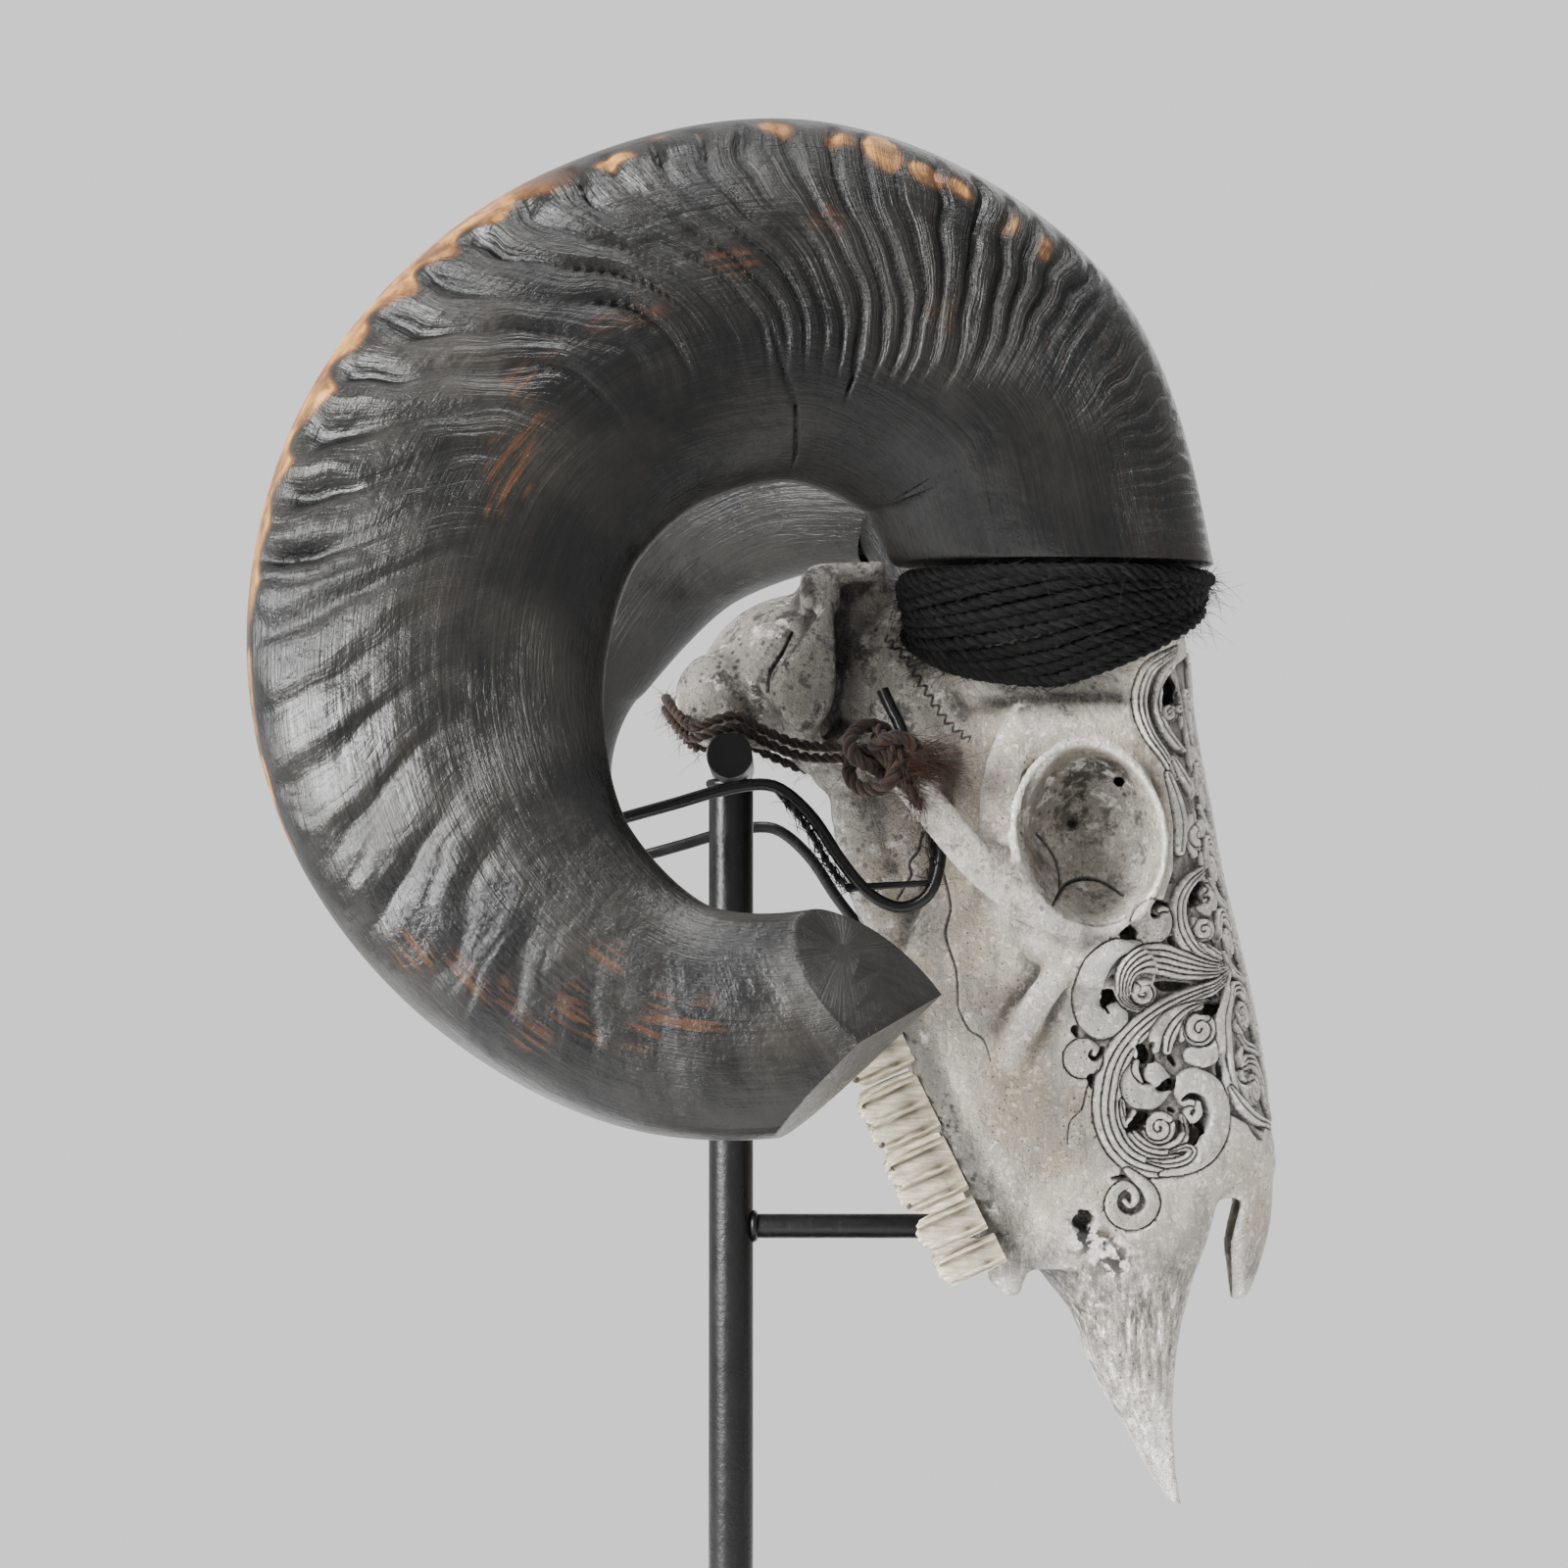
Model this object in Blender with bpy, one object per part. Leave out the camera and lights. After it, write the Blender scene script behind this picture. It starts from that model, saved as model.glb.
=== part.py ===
"""A carved ram skull with its horns, lashed to a black steel stand.

The skull hangs nose down. +X is the side that its brow and nose face, +Y its left side, +Z is up.
The origin is the middle of the base plate's underside. Sizes below are in millimetres.
"""

import math

import bmesh
import bpy
from mathutils import Euler, Matrix, Vector

MM = 0.001
GAP = 0.35
CLEARANCE = 1.6
SIDES = {"right": -1, "left": 1}

# Stand
PLATE = (170, 170, 6)
PLATE_CENTRE_X = 8
POST_RADIUS = 6.3
CROSSBAR_RADIUS = 6.3
CROSSBAR_Z = 281.2
CROSSBAR_HALF = 50
ARM_RADIUS = 3.5
ARM_Z = 150
ARM_END_X = 77.4
WIRE_RADIUS = 1.7

# Skull: half outlines of the face at heights from the brow to the front of the tooth row.
# Each row is a height, then seven (x, y) points from the middle of the palate round to the middle of the nose.
FACE_SECTIONS = (
    (322, (62, 0), (62, 16), (66, 25), (84, 30), (106, 27), (122, 15), (128.5, 0)),
    (310, (60, 0), (60, 18), (64, 30), (84, 36), (106, 34), (123, 20), (129.8, 0)),
    (298, (60, 0), (60, 20), (66, 33), (84, 43), (106, 42), (124, 28), (130.4, 0)),
    (286, (62, 0), (62, 20), (67, 35), (83, 49), (105, 48), (125, 32), (132, 0)),
    (268, (62, 0), (62, 20), (66, 32), (84, 42), (107, 43), (127, 31), (135.5, 0)),
    (250, (58, 0), (58, 20), (61, 32), (79, 42), (105, 43), (129, 30), (138.6, 0)),
    (232, (54, 0), (50, 21), (53, 33), (73, 41), (103, 41), (132, 28), (143, 0)),
    (215, (55, 0), (46, 20), (47, 31), (69, 40), (101, 38), (135, 26), (147, 0)),
    (197, (60, 0), (51, 21), (51, 33), (69, 40), (101, 36), (138, 24), (150.5, 0)),
    (180, (68, 0), (59, 21), (59, 33), (75, 38), (105, 34), (140, 22), (152.8, 0)),
    (163, (75, 0), (65, 20), (65, 31), (81, 34), (109, 31), (139, 21), (153.4, 0)),
    (150, (81, 0), (72, 19), (71, 28.5), (86, 30), (109, 27), (127, 17), (133, 0)),
    (139, (85, 0), (77.5, 17), (76, 25.5), (87, 26), (107, 23.5), (123, 16), (130, 0)),
)
# Front of the upper jaw: height, back edge, edge of the open front, half width.
JAW_SECTIONS = (
    (168, 78, 137.5, 29),
    (160, 80, 136.4, 28.5),
    (148, 83.5, 133.3, 28),
    (138, 87, 129.6, 25.5),
    (126, 96, 126.4, 21.5),
    (115, 99.7, 124.6, 19.5),
    (104, 104.6, 123.9, 17.5),
    (93, 111.5, 124, 14.5),
    (82, 117.2, 125, 11),
    (72, 124, 127, 7.5),
)
# Nasal bones: height, front edge on the midline, half width, how far the sides droop back.
NASAL_SECTIONS = (
    (182, 152.6, 22, 13),
    (163, 153.4, 19.5, 12.5),
    (150, 152.4, 16.5, 10.5),
    (140, 149.8, 12.5, 7.5),
    (133, 147.4, 8.5, 4.5),
    (128.4, 144.5, 3.2, 1.6),
)
NASAL_THICKNESS = 3.2
SKULL_VOXEL = 2.6
SKULL_FINAL_VOXEL = 2
SKULL_SHARE = 0.04
JAW_WALL = 4
JAW_OPENING = 4
CAVITY_WALL = 6.5
# Horn boss: height, centre x, centre y, half length, half width.
BOSS_SECTIONS = (
    (292, 92, 24, 27, 15),
    (304, 90, 30, 33, 21),
    (318, 89, 35.5, 37, 25.5),
    (332.6, 89, 39.5, 39.5, 28.5),
)
ORBIT_CENTRE = (98.5, 50, 259)
ORBIT_RADII = (20, 30, 25)
ORBIT_TILT = math.radians(-9)
ORBIT_REAR_FLARE = 8
ARCH_PATH = ((97, 53, 234), (82, 59, 240), (68, 62, 251), (57, 62, 264), (48, 59, 275), (39, 50, 281), (31, 34, 284))

# Rounded bones on the right side: centre, half sizes, turn about X, Y and Z in degrees. The left side mirrors them.
SIDE_BLOBS = {
    "wall behind the eye": ((98, 35, 256), (24, 17, 29), (0, 9, 0)),
    "cheek": ((99, 42, 226), (20, 11, 9), (0, 20, 0)),
    "condyle": ((-5, 16, 296.5), (10.5, 11, 12.5), (0, 0, 0)),
    "mastoid": ((22.5, 29, 304), (9, 8, 20), (0, -8, 0)),
    "bulla": ((31, 19, 281), (9, 8, 9), (0, 0, 0)),
}
# Bars of bone on the right side: path, half thickness, half width, direction of the wide side.
SIDE_BARS = {
    "zygomatic arch": (ARCH_PATH, 3.4, 5.6, (0.6, 0, 0.8)),
    "facial crest": (((96, 50, 229), (84, 43, 212), (76, 39, 196)), 3.2, 4.5, (1, 0, 0.3)),
    "bar behind the orbit": (((84, 44, 293), (77, 47, 282), (73, 50, 270), (71, 54, 257)), 2.8, 6, (1, 0, 0.2)),
    "jugular process": (((18, 29, 292), (22, 27, 284), (27, 24, 281)), 4, 5, (1, 0, 0)),
    "pterygoid wing": (((35, 15, 280), (36.5, 17, 262), (43, 20, 240), (54, 24, 222)), 3.2, 8, (1, 0, 0.2)),
    "corner of the jaw": (((72, 26, 152), (80, 25, 137), (78, 24.5, 132)), 5, 6.5, (1, 0, 0.5)),
}
ORBIT_RIM_RADIUS = 4.2
# Braincase, occiput, crest and the base between condyles and palate, all on the midline.
BRAINCASE = ((57, 0, 300), (33, 34, 36), (0, 15, 0))
OCCIPUT = ((14, 0, 307), (25, 27, 20), (0, -35, 0))
CREST = ((30, 0, 329), (21, 60, 15))
CREST_LEAN = math.radians(-2)
SKULL_BASE = (((-4, 0, 294), (14, 0, 292), (36, 0, 286), (62, 0, 262)), 13, 8, (1, 0, 1))
FORAMEN = ((-9, 0, 303), (16, 8, 8.5), (0, 30, 0))

# Horn curl round the hub, at equal turns from the root to the sawn end: distance of the centreline from the hub,
# half depth, half thickness, and distance from the midline.
HORN_HUB = (5, 0, 300)
HORN_FIRST_ANGLE = 22
HORN_LAST_ANGLE = 318
HORN_STATIONS = (
    (91, 44, 31.5, 42),
    (103, 46.5, 32, 55),
    (104, 49, 31, 74),
    (96.5, 49, 29.5, 92),
    (90, 49, 28, 104),
    (84.5, 48, 27, 113),
    (83.5, 44, 25.5, 122),
    (86.5, 36.5, 23, 132),
    (92, 30.5, 20, 142),
    (92.5, 27.5, 17.5, 152),
    (92, 22, 14, 157),
)
# The left horn curls tighter: at each station, the change of the distance from the hub and of the half depth.
LEFT_CHANGES = (
    (0, 0), (-2, 1), (-10, 5), (-10, 6), (-8, 5), (-1, 1), (1, -5), (0, -3), (0, -1), (0, 0), (0, 0),
)
HORN_RINGS = 62
HORN_SIDES = 12
HORN_LEDGE = 1.3
HORN_END_RINGS = 14
HORN_LEVEL_SHARE = 0.08
# The two cuts at the horn's sawn end: a point of the plane, and its outward direction (x, away from the midline, z).
HORN_CUTS = (((22, 150, 239), (0.554, 0.643, 0.527)), ((33, 170, 203), (0.668, 0.203, -0.716)))

ROPE_TURNS = 5
ROPE_THICKNESS = 5.5

# Teeth: name, place of the middle of the crown (x, z), length along the row, number of lobes.
TEETH = (
    ("m3", 43.5, 202.0, 17.0, 2),
    ("m2", 50.6, 184.0, 17.0, 2),
    ("m1", 58.2, 167.0, 16.4, 2),
    ("p4", 64.8, 153.2, 9.6, 1),
    ("p3", 70.4, 143.6, 8.4, 1),
)
TOOTH_ROW_Y = 27.5
TOOTH_HALF_DEPTH = 7
TOOTH_ROOT = 5
TOOTH_CROWN = 13
ROW_DIRECTION = Vector((0.44, 0, -0.898))
CROWN_DIRECTION = Vector((-0.91, 0, -0.41)).normalized()

# Cord: right half of its route, from the knot at the arch to the midline behind the condyles.
CORD_ROUTE = (
    (39, 62, 281), (31, 54, 282), (20, 45, 283), (10, 40, 287), (2, 38.5, 291.3), (-6, 36.5, 290),
    (-12.5, 31, 288.5), (-17, 23, 291.5), (-21, 12, 296), (-22.5, 0, 298),
)
CORD_RADIUS = 2.9
KNOT = ((41, 62, 280), (10, 5.6, 9.5))

# Cradle wire: from each hook's end round its bend to the loop at the back. The left side hangs lower.
WIRE_RIGHT = (
    (42.2, 44, 299.4), (44.6, 45.5, 294), (47.3, 47, 288.3), (52.5, 50.5, 272), (57, 51, 260), (57.8, 51, 252.5),
    (55, 51, 243.5), (49, 50, 239.6), (43, 50, 240.3), (37, 50, 244.5), (30.5, 50, 252.5), (23, 50, 263.8),
    (15, 50, 271.3), (8.3, 50, 273.2), (-2.5, 50, 271.5), (-14.6, 50, 268), (-25.4, 49.5, 265), (-44, 45, 260),
    (-57, 35, 257), (-64, 18, 254.5),
)
WIRE_LEFT_DROP = 9
# Carved openings in the side of the face: x, z, half length, half width, turn of the long side in degrees.
CARVED_PITS = (
    (109.3, 232.2, 5, 2.6, 20), (104.3, 215.4, 6, 2.6, 75), (121.4, 218.1, 5, 2.6, -30), (133.6, 212.4, 5, 2.4, 60),
    (114.1, 199.4, 5, 2.6, -60), (112.7, 180, 6, 2.6, 45), (128.1, 177.4, 5.5, 2.6, -35), (120, 190, 5, 2.4, 20),
    (131.7, 243.5, 5.5, 2.4, 60), (134.7, 229.8, 4.5, 2.4, 20), (122.3, 300.8, 6, 2, 85), (137, 196, 6, 2.2, 78),
)


def clear_scene():
    """Removes whatever the startup file holds."""
    for obj in list(bpy.data.objects):
        bpy.data.objects.remove(obj)


def material(name, colour, roughness, metallic=0.0):
    """A plain surface colour."""
    made = bpy.data.materials.new(name)
    made.use_nodes = True
    surface = made.node_tree.nodes["Principled BSDF"]
    surface.inputs["Base Color"].default_value = (*colour, 1)
    surface.inputs["Roughness"].default_value = roughness
    surface.inputs["Metallic"].default_value = metallic
    return made


def between(rows, count):
    """Rows of numbers read evenly from a smooth curve through the given rows."""
    ends = [rows[0], *rows, rows[-1]]
    made = []
    for step in range(count):
        place = step * (len(rows) - 1) / (count - 1)
        i = min(int(place), len(rows) - 2)
        t = place - i
        made.append(
            [
                0.5 * (2 * b + (c - a) * t + (2 * a - 5 * b + 4 * c - d) * t * t + (3 * b - a - 3 * c + d) * t**3)
                for a, b, c, d in zip(*ends[i : i + 4])
            ]
        )
    return made


def add_loft(mesh, rings):
    """Closes a skin over rings of points, with a flat cap at each end."""
    loops = [[mesh.verts.new(Vector(p) * MM) for p in ring] for ring in rings]
    for low, high in zip(loops, loops[1:]):
        for k in range(len(low)):
            mesh.faces.new((low[k - 1], low[k], high[k], high[k - 1]))
    mesh.faces.new(loops[0][::-1])
    mesh.faces.new(loops[-1])


def add_blob(mesh, centre, radii, turn=(0, 0, 0), fineness=2):
    """A ball stretched to three half sizes and turned about X, Y and Z, in degrees."""
    place = Matrix.Translation(Vector(centre) * MM) @ Euler([math.radians(a) for a in turn]).to_matrix().to_4x4()
    stretch = Matrix.Diagonal((*(r * MM for r in radii), 1))
    bmesh.ops.create_icosphere(mesh, subdivisions=fineness, radius=1, matrix=place @ stretch)


def add_rod(mesh, start, end, radius, sides=20):
    """A straight round bar."""
    start, end = Vector(start), Vector(end)
    turn = Vector((0, 0, 1)).rotation_difference(end - start).to_matrix().to_4x4()
    place = Matrix.Translation((start + end) / 2 * MM) @ turn
    bmesh.ops.create_cone(
        mesh, cap_ends=True, segments=sides, radius1=radius * MM, radius2=radius * MM,
        depth=(end - start).length * MM, matrix=place,
    )


def add_bar(mesh, path, flat, wide, upright, sides=8, count=None):
    """A bar along a path, flat and wide being its half sizes across and along the upright direction."""
    points = [Vector(p) for p in between(path, count or 3 * len(path))]
    rings = []
    for i, point in enumerate(points):
        along = (points[min(i + 1, len(points) - 1)] - points[max(i - 1, 0)]).normalized()
        across = along.cross(Vector(upright)).normalized()
        up = across.cross(along)
        turns = [2 * math.pi * k / sides for k in range(sides)]
        rings.append([point + across * flat * math.cos(a) + up * wide * math.sin(a) for a in turns])
    add_loft(mesh, rings)


def outline(half):
    """A closed ring of points from half an outline and its mirror image."""
    return list(half) + [(x, -y, z) for x, y, z in half[-2:0:-1]]


def make_object(name, mesh, surface=None, smooth=False):
    """Turns a bmesh into a named object."""
    bmesh.ops.recalc_face_normals(mesh, faces=mesh.faces)
    data = bpy.data.meshes.new(name)
    mesh.to_mesh(data)
    mesh.free()
    obj = bpy.data.objects.new(name, data)
    bpy.context.scene.collection.objects.link(obj)
    if surface:
        data.materials.append(surface)
    if smooth:
        data.shade_smooth()
        data.set_sharp_from_angle(angle=math.radians(35))
    return obj


def hide_tool(obj):
    """Marks a cutter, which is no part of the object."""
    obj.hide_render = True
    obj.display_type = "WIRE"
    return obj


def cut(obj, cutter):
    """Takes the cutter's shape out of the object."""
    step = obj.modifiers.new("cut_" + cutter.name, "BOOLEAN")
    step.operation = "DIFFERENCE"
    step.solver = "EXACT"
    step.object = cutter


def skin(obj, voxel, rounds=0):
    """Fuses overlapping shapes into one skin, and smooths it."""
    fuse = obj.modifiers.new("fuse", "REMESH")
    fuse.mode = "VOXEL"
    fuse.voxel_size = voxel * MM
    if not rounds:
        return
    ease = obj.modifiers.new("ease", "SMOOTH")
    ease.iterations = rounds
    ease.factor = 0.5


def keep_share(obj, share):
    """Thins a dense skin down to a share of its faces."""
    thin = obj.modifiers.new("thin", "DECIMATE")
    thin.ratio = share


def add_face(mesh):
    """The brow, nose and upper jaw as one skin over the face outlines."""
    rows = [[height, *(value for point in points for value in point)] for height, *points in FACE_SECTIONS]
    rings = []
    for row in between(rows, 34):
        keys = [(row[i], row[i + 1]) for i in range(1, len(row), 2)]
        half = between(keys, 13)
        rings.append(outline([(x, max(y, 0), row[0]) for x, y in half]))
    add_loft(mesh, rings)


def jaw_rings(inset):
    """Rings of the jaw's front part, closed a little past its open front, and drawn in by a wall."""
    rings = []
    for z, back, edge, width in between(JAW_SECTIONS, 22):
        front = edge + JAW_OPENING
        middle = (back + front) / 2
        reach = (front - back) / 2 - inset
        turns = [2 * math.pi * k / 20 for k in range(20)]
        rings.append(
            [
                (
                    middle + max(reach, 0.6) * math.copysign(abs(math.cos(a)) ** 0.8, math.cos(a)),
                    max(width - inset, 0.6) * math.copysign(abs(math.sin(a)) ** 0.7, math.sin(a)),
                    z,
                )
                for a in turns
            ]
        )
    return rings


def add_nasals(mesh):
    """The nasal bones' free end: a roof of even thickness that runs out in a point."""
    rings = []
    for z, front, width, droop in between(NASAL_SECTIONS, 12):
        spread = [k / 4 - 1 for k in range(9)]
        outer = [(front - droop * abs(t) ** 1.8, width * t, z) for t in spread]
        thin = min(NASAL_THICKNESS, width * 0.8)
        inner = [(x - thin, y * (1 - thin / width * 0.8), z) for x, y, z in outer]
        rings.append(outer + inner[::-1])
    add_loft(mesh, rings)


def orbit_rim(count=18, grow=3.0):
    """Points along the orbit's raised rim on the right side, which flares out towards the rear."""
    x, y, z = ORBIT_CENTRE
    lean = Matrix.Rotation(ORBIT_TILT, 3, "Y")
    points = []
    for k in range(count):
        a = 2 * math.pi * k / count
        flat = lean @ Vector(((ORBIT_RADII[0] + grow) * math.cos(a), 0, (ORBIT_RADII[2] + grow) * math.sin(a)))
        points.append(Vector((x, -y - 1, z)) + flat - Vector((0, ORBIT_REAR_FLARE * -math.cos(a), 0)))
    return points


def add_ring_bar(mesh, points, radius, sides=8):
    """A closed ring of round bar through the points."""
    loops = []
    count = len(points)
    middle = sum(points, Vector()) / count
    for i, point in enumerate(points):
        along = (points[(i + 1) % count] - points[i - 1]).normalized()
        out = (point - middle).normalized()
        side = along.cross(out).normalized()
        turns = [2 * math.pi * k / sides for k in range(sides)]
        ring = [point + out * radius * math.cos(a) + side * radius * math.sin(a) for a in turns]
        loops.append([mesh.verts.new(p * MM) for p in ring])
    for i in range(count):
        low, high = loops[i - 1], loops[i]
        for k in range(sides):
            mesh.faces.new((low[k - 1], low[k], high[k], high[k - 1]))


def add_side_bones(mesh, side):
    """The bones that the skull has once on each side: orbit, arch, horn boss, condyle and the rest."""
    for (x, y, z), radii, turn in SIDE_BLOBS.values():
        add_blob(mesh, (x, y * side, z), radii, turn)
    for path, flat, wide, upright in SIDE_BARS.values():
        add_bar(mesh, [(x, y * side, z) for x, y, z in path], flat, wide, upright)
    rim = [Vector((p.x, -p.y * side, p.z)) for p in orbit_rim()]
    add_ring_bar(mesh, rim, ORBIT_RIM_RADIUS)
    turns = [2 * math.pi * k / 24 for k in range(24)]
    boss = [
        [(x + long * math.cos(a), (y + wide * math.sin(a)) * side, z) for a in turns]
        for z, x, y, long, wide in between(BOSS_SECTIONS, 8)
    ]
    add_loft(mesh, boss)


def add_skull_forms(mesh):
    """All the bone, as overlapping closed shapes."""
    add_face(mesh)
    add_loft(mesh, jaw_rings(0))
    add_nasals(mesh)
    for centre, radii, turn in (BRAINCASE, OCCIPUT):
        add_blob(mesh, centre, radii, turn, 3)
    middle, size = CREST
    crest = Matrix.Translation(Vector(middle) * MM) @ Matrix.Rotation(CREST_LEAN, 4, "Y")
    bmesh.ops.create_cube(mesh, size=1, matrix=crest @ Matrix.Diagonal((*(s * MM for s in size), 1)))
    add_bar(mesh, *SKULL_BASE)
    for side in SIDES.values():
        add_side_bones(mesh, side)


def add_cavity(mesh):
    """The nasal passage, open at the front under the nasal bones and at the back of the palate."""
    rows = [[height, *(value for point in points for value in point)] for height, *points in FACE_SECTIONS[6:-2]]
    rings = []
    for row in between(rows, 8):
        keys = [(row[i], row[i + 1]) for i in range(1, len(row), 2)]
        back, front = keys[0][0] + 12, keys[-1][0] - NASAL_THICKNESS - 1
        spread = (front - back) / (keys[-1][0] - keys[2][0])
        half = [
            (max(back, front - (keys[-1][0] - x) * spread), max(y - CAVITY_WALL, 0) * 0.9, row[0])
            for x, y in between(keys, 8)
        ]
        rings.append(outline(half))
    rings.append([(x - 5, y, z - 12) for x, y, z in rings[-1]])
    add_loft(mesh, rings)


def skull_cutters():
    """What is taken out of the fused bone."""
    orbits = bmesh.new()
    pits = bmesh.new()
    for s in SIDES.values():
        x, y, z = ORBIT_CENTRE
        add_blob(orbits, (x + 1, (y + 4) * s, z), ORBIT_RADII, (0, math.degrees(ORBIT_TILT), 9 * s))
        for px, pz, long, wide, turn in CARVED_PITS:
            across = Matrix.Rotation(math.radians(-turn), 4, "Y") @ Matrix.Diagonal((long * MM, 1, wide * MM, 1))
            place = Matrix.Translation(Vector((px, 34 * s, pz)) * MM)
            upright = Matrix.Rotation(math.pi / 2, 4, "X")
            bmesh.ops.create_cone(
                pits, cap_ends=True, segments=6, radius1=1, radius2=1, depth=0.024, matrix=place @ across @ upright
            )
    passage = bmesh.new()
    add_cavity(passage)
    floor = bmesh.new()
    add_loft(floor, jaw_rings(JAW_WALL))
    front = bmesh.new()
    deep = JAW_OPENING + 3
    rows = [(z - 1.5, edge, 35) for z, _, edge, _ in JAW_SECTIONS[1:]]
    add_loft(front, [[(x, -y, z), (x + deep, -y, z), (x + deep, y, z), (x, y, z)] for z, x, y in rows])
    slit = bmesh.new()
    place = Matrix.Translation(Vector((116, 0, 88)) * MM)
    bmesh.ops.create_cube(slit, size=1, matrix=place @ Matrix.Diagonal((0.05, 0.0055, 0.05, 1)))
    magnum = bmesh.new()
    add_blob(magnum, *FORAMEN)
    named = {"orbits": orbits, "pits": pits, "front": front, "floor": floor, "passage": passage, "slit": slit}
    named["magnum"] = magnum
    return [hide_tool(make_object("cutter_" + name, mesh)) for name, mesh in named.items()]


def make_skull(bone):
    """The bone, fused and cut, and its sockets."""
    forms = bmesh.new()
    add_skull_forms(forms)
    skull = make_object("skull", forms, bone)
    skin(skull, SKULL_VOXEL, 6)
    for cutter in skull_cutters():
        cut(skull, cutter)
    skin(skull, SKULL_FINAL_VOXEL)
    keep_share(skull, SKULL_SHARE)
    seats = bmesh.new()
    for side in SIDES.values():
        for _, x, z, length, lobes in TEETH:
            add_tooth(seats, side, x, z, length, lobes, grow=GAP)
    add_rod(seats, (0, -CROSSBAR_HALF - 1, CROSSBAR_Z), (0, CROSSBAR_HALF + 1, CROSSBAR_Z), CROSSBAR_RADIUS + GAP)
    cut(skull, hide_tool(make_object("cutter_seats", seats)))
    return skull


def add_tooth(mesh, side, x, z, length, lobes, grow=0.0):
    """One cheek tooth: a ridged prism from its root to its worn crown."""
    row, up = ROW_DIRECTION, CROWN_DIRECTION
    middle = Vector((x, TOOTH_ROW_Y * side, z))
    half = length / 2 + grow
    deep = TOOTH_HALF_DEPTH + grow
    outer = []
    for k in range(lobes):
        start = -half + 2 * half * k / lobes
        for share, depth in ((0.04, 0.98), (0.5, 0.72)):
            outer.append((start + 2 * half / lobes * share, deep * depth))
    outer.append((half * 0.97, deep * 0.98))
    inner = [(half * 0.92, -deep * 0.8), (half * 0.3, -deep), (-half * 0.3, -deep), (-half * 0.92, -deep * 0.8)]
    rings = []
    for reach, scale in ((-TOOTH_ROOT - grow, 0.94), (TOOTH_CROWN + grow, 0.9)):
        ring = [middle + up * reach + row * u * scale + Vector((0, side * v * scale, 0)) for u, v in outer + inner]
        rings.append(ring)
    add_loft(mesh, rings)


def horn_stations(side):
    """The horn's stations as x, distance from the midline, z and the two half sizes."""
    made = []
    for k, (reach, deep, thick, aside) in enumerate(HORN_STATIONS):
        share = k / (len(HORN_STATIONS) - 1)
        angle = math.radians(HORN_FIRST_ANGLE + (HORN_LAST_ANGLE - HORN_FIRST_ANGLE) * share)
        if side > 0:
            reach += LEFT_CHANGES[k][0]
            deep += LEFT_CHANGES[k][1]
        x = HORN_HUB[0] + reach * math.cos(angle)
        z = HORN_HUB[2] + reach * math.sin(angle)
        made.append((x, aside, z, deep, thick))
    return made


def horn_frames(count, side):
    """Centre, outward and sideways directions and half sizes along a horn, drawn on the right side."""
    rows = between(horn_stations(side), count)
    centres = [Vector((x, -y, z)) for x, y, z, *_ in rows]
    hub = Vector(HORN_HUB)
    frames = []
    for i, centre in enumerate(centres):
        along = (centres[min(i + 1, count - 1)] - centres[max(i - 1, 0)]).normalized()
        near_root = max(0, 1 - i / (HORN_LEVEL_SHARE * count))
        along = along.lerp(Vector((0, 0, 1)), near_root).normalized()
        out = centre - hub
        out.y = 0
        out = (out - along * out.dot(along)).normalized()
        side = along.cross(out).normalized()
        if side.y > 0:
            side = -side
        frames.append((centre, out, side, rows[i][3], rows[i][4]))
    return frames


def horn_outline(angle):
    """How far the horn's skin lies from its centre in a direction, 0 being the outer edge and 90 degrees the side."""
    keel = 0.08 * math.exp(-(((angle - 0.72) / 0.4) ** 2))
    flat_inside = 0.07 * math.exp(-(((angle - 4.7) / 0.9) ** 2))
    return 1 + keel - flat_inside


def make_horn(name, side, horn):
    """A horn with its growth ledges, cut flat at its root and sawn off at its end."""
    mesh = bmesh.new()
    rings = []
    for i, (centre, out, lateral, deep, thick) in enumerate(horn_frames(HORN_RINGS, side)):
        share = i / (HORN_RINGS - 1)
        strength = HORN_LEDGE * min(1, 4 * share) * min(1, 5 * (1 - share)) * (-1) ** i
        ring = []
        for k in range(HORN_SIDES):
            a = 2 * math.pi * k / HORN_SIDES
            reach = horn_outline(a)
            ledge = strength * max(0, math.cos(a - 0.7)) ** 0.5
            p = centre + out * (deep * reach + ledge) * math.cos(a) + lateral * (thick * reach + ledge) * math.sin(a)
            ring.append((p.x, -p.y * side, p.z))
        rings.append(ring)
    add_loft(mesh, rings)
    bmesh.ops.recalc_face_normals(mesh, faces=mesh.faces)
    for point, out in HORN_CUTS:
        where = Vector((point[0], point[1] * side, point[2])) * MM
        away = Vector((out[0], out[1] * side, out[2])).normalized()
        lowest = min(ring[0][0] * MM for ring in rings[-HORN_END_RINGS:])
        near_end = [v for v in mesh.verts if v.co.x > lowest and v.co.z < HORN_HUB[2] * MM]
        faces = {face for vert in near_end for face in vert.link_faces}
        edges = {edge for face in faces for edge in face.edges}
        verts = {vert for face in faces for vert in face.verts}
        made = bmesh.ops.bisect_plane(
            mesh, geom=[*verts, *edges, *faces], plane_co=where, plane_no=away, clear_outer=True
        )
        rim = [e for e in made["geom_cut"] if isinstance(e, bmesh.types.BMEdge)]
        bmesh.ops.contextual_create(mesh, geom=rim)
    return make_object(name, mesh, horn, smooth=True)


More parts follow.
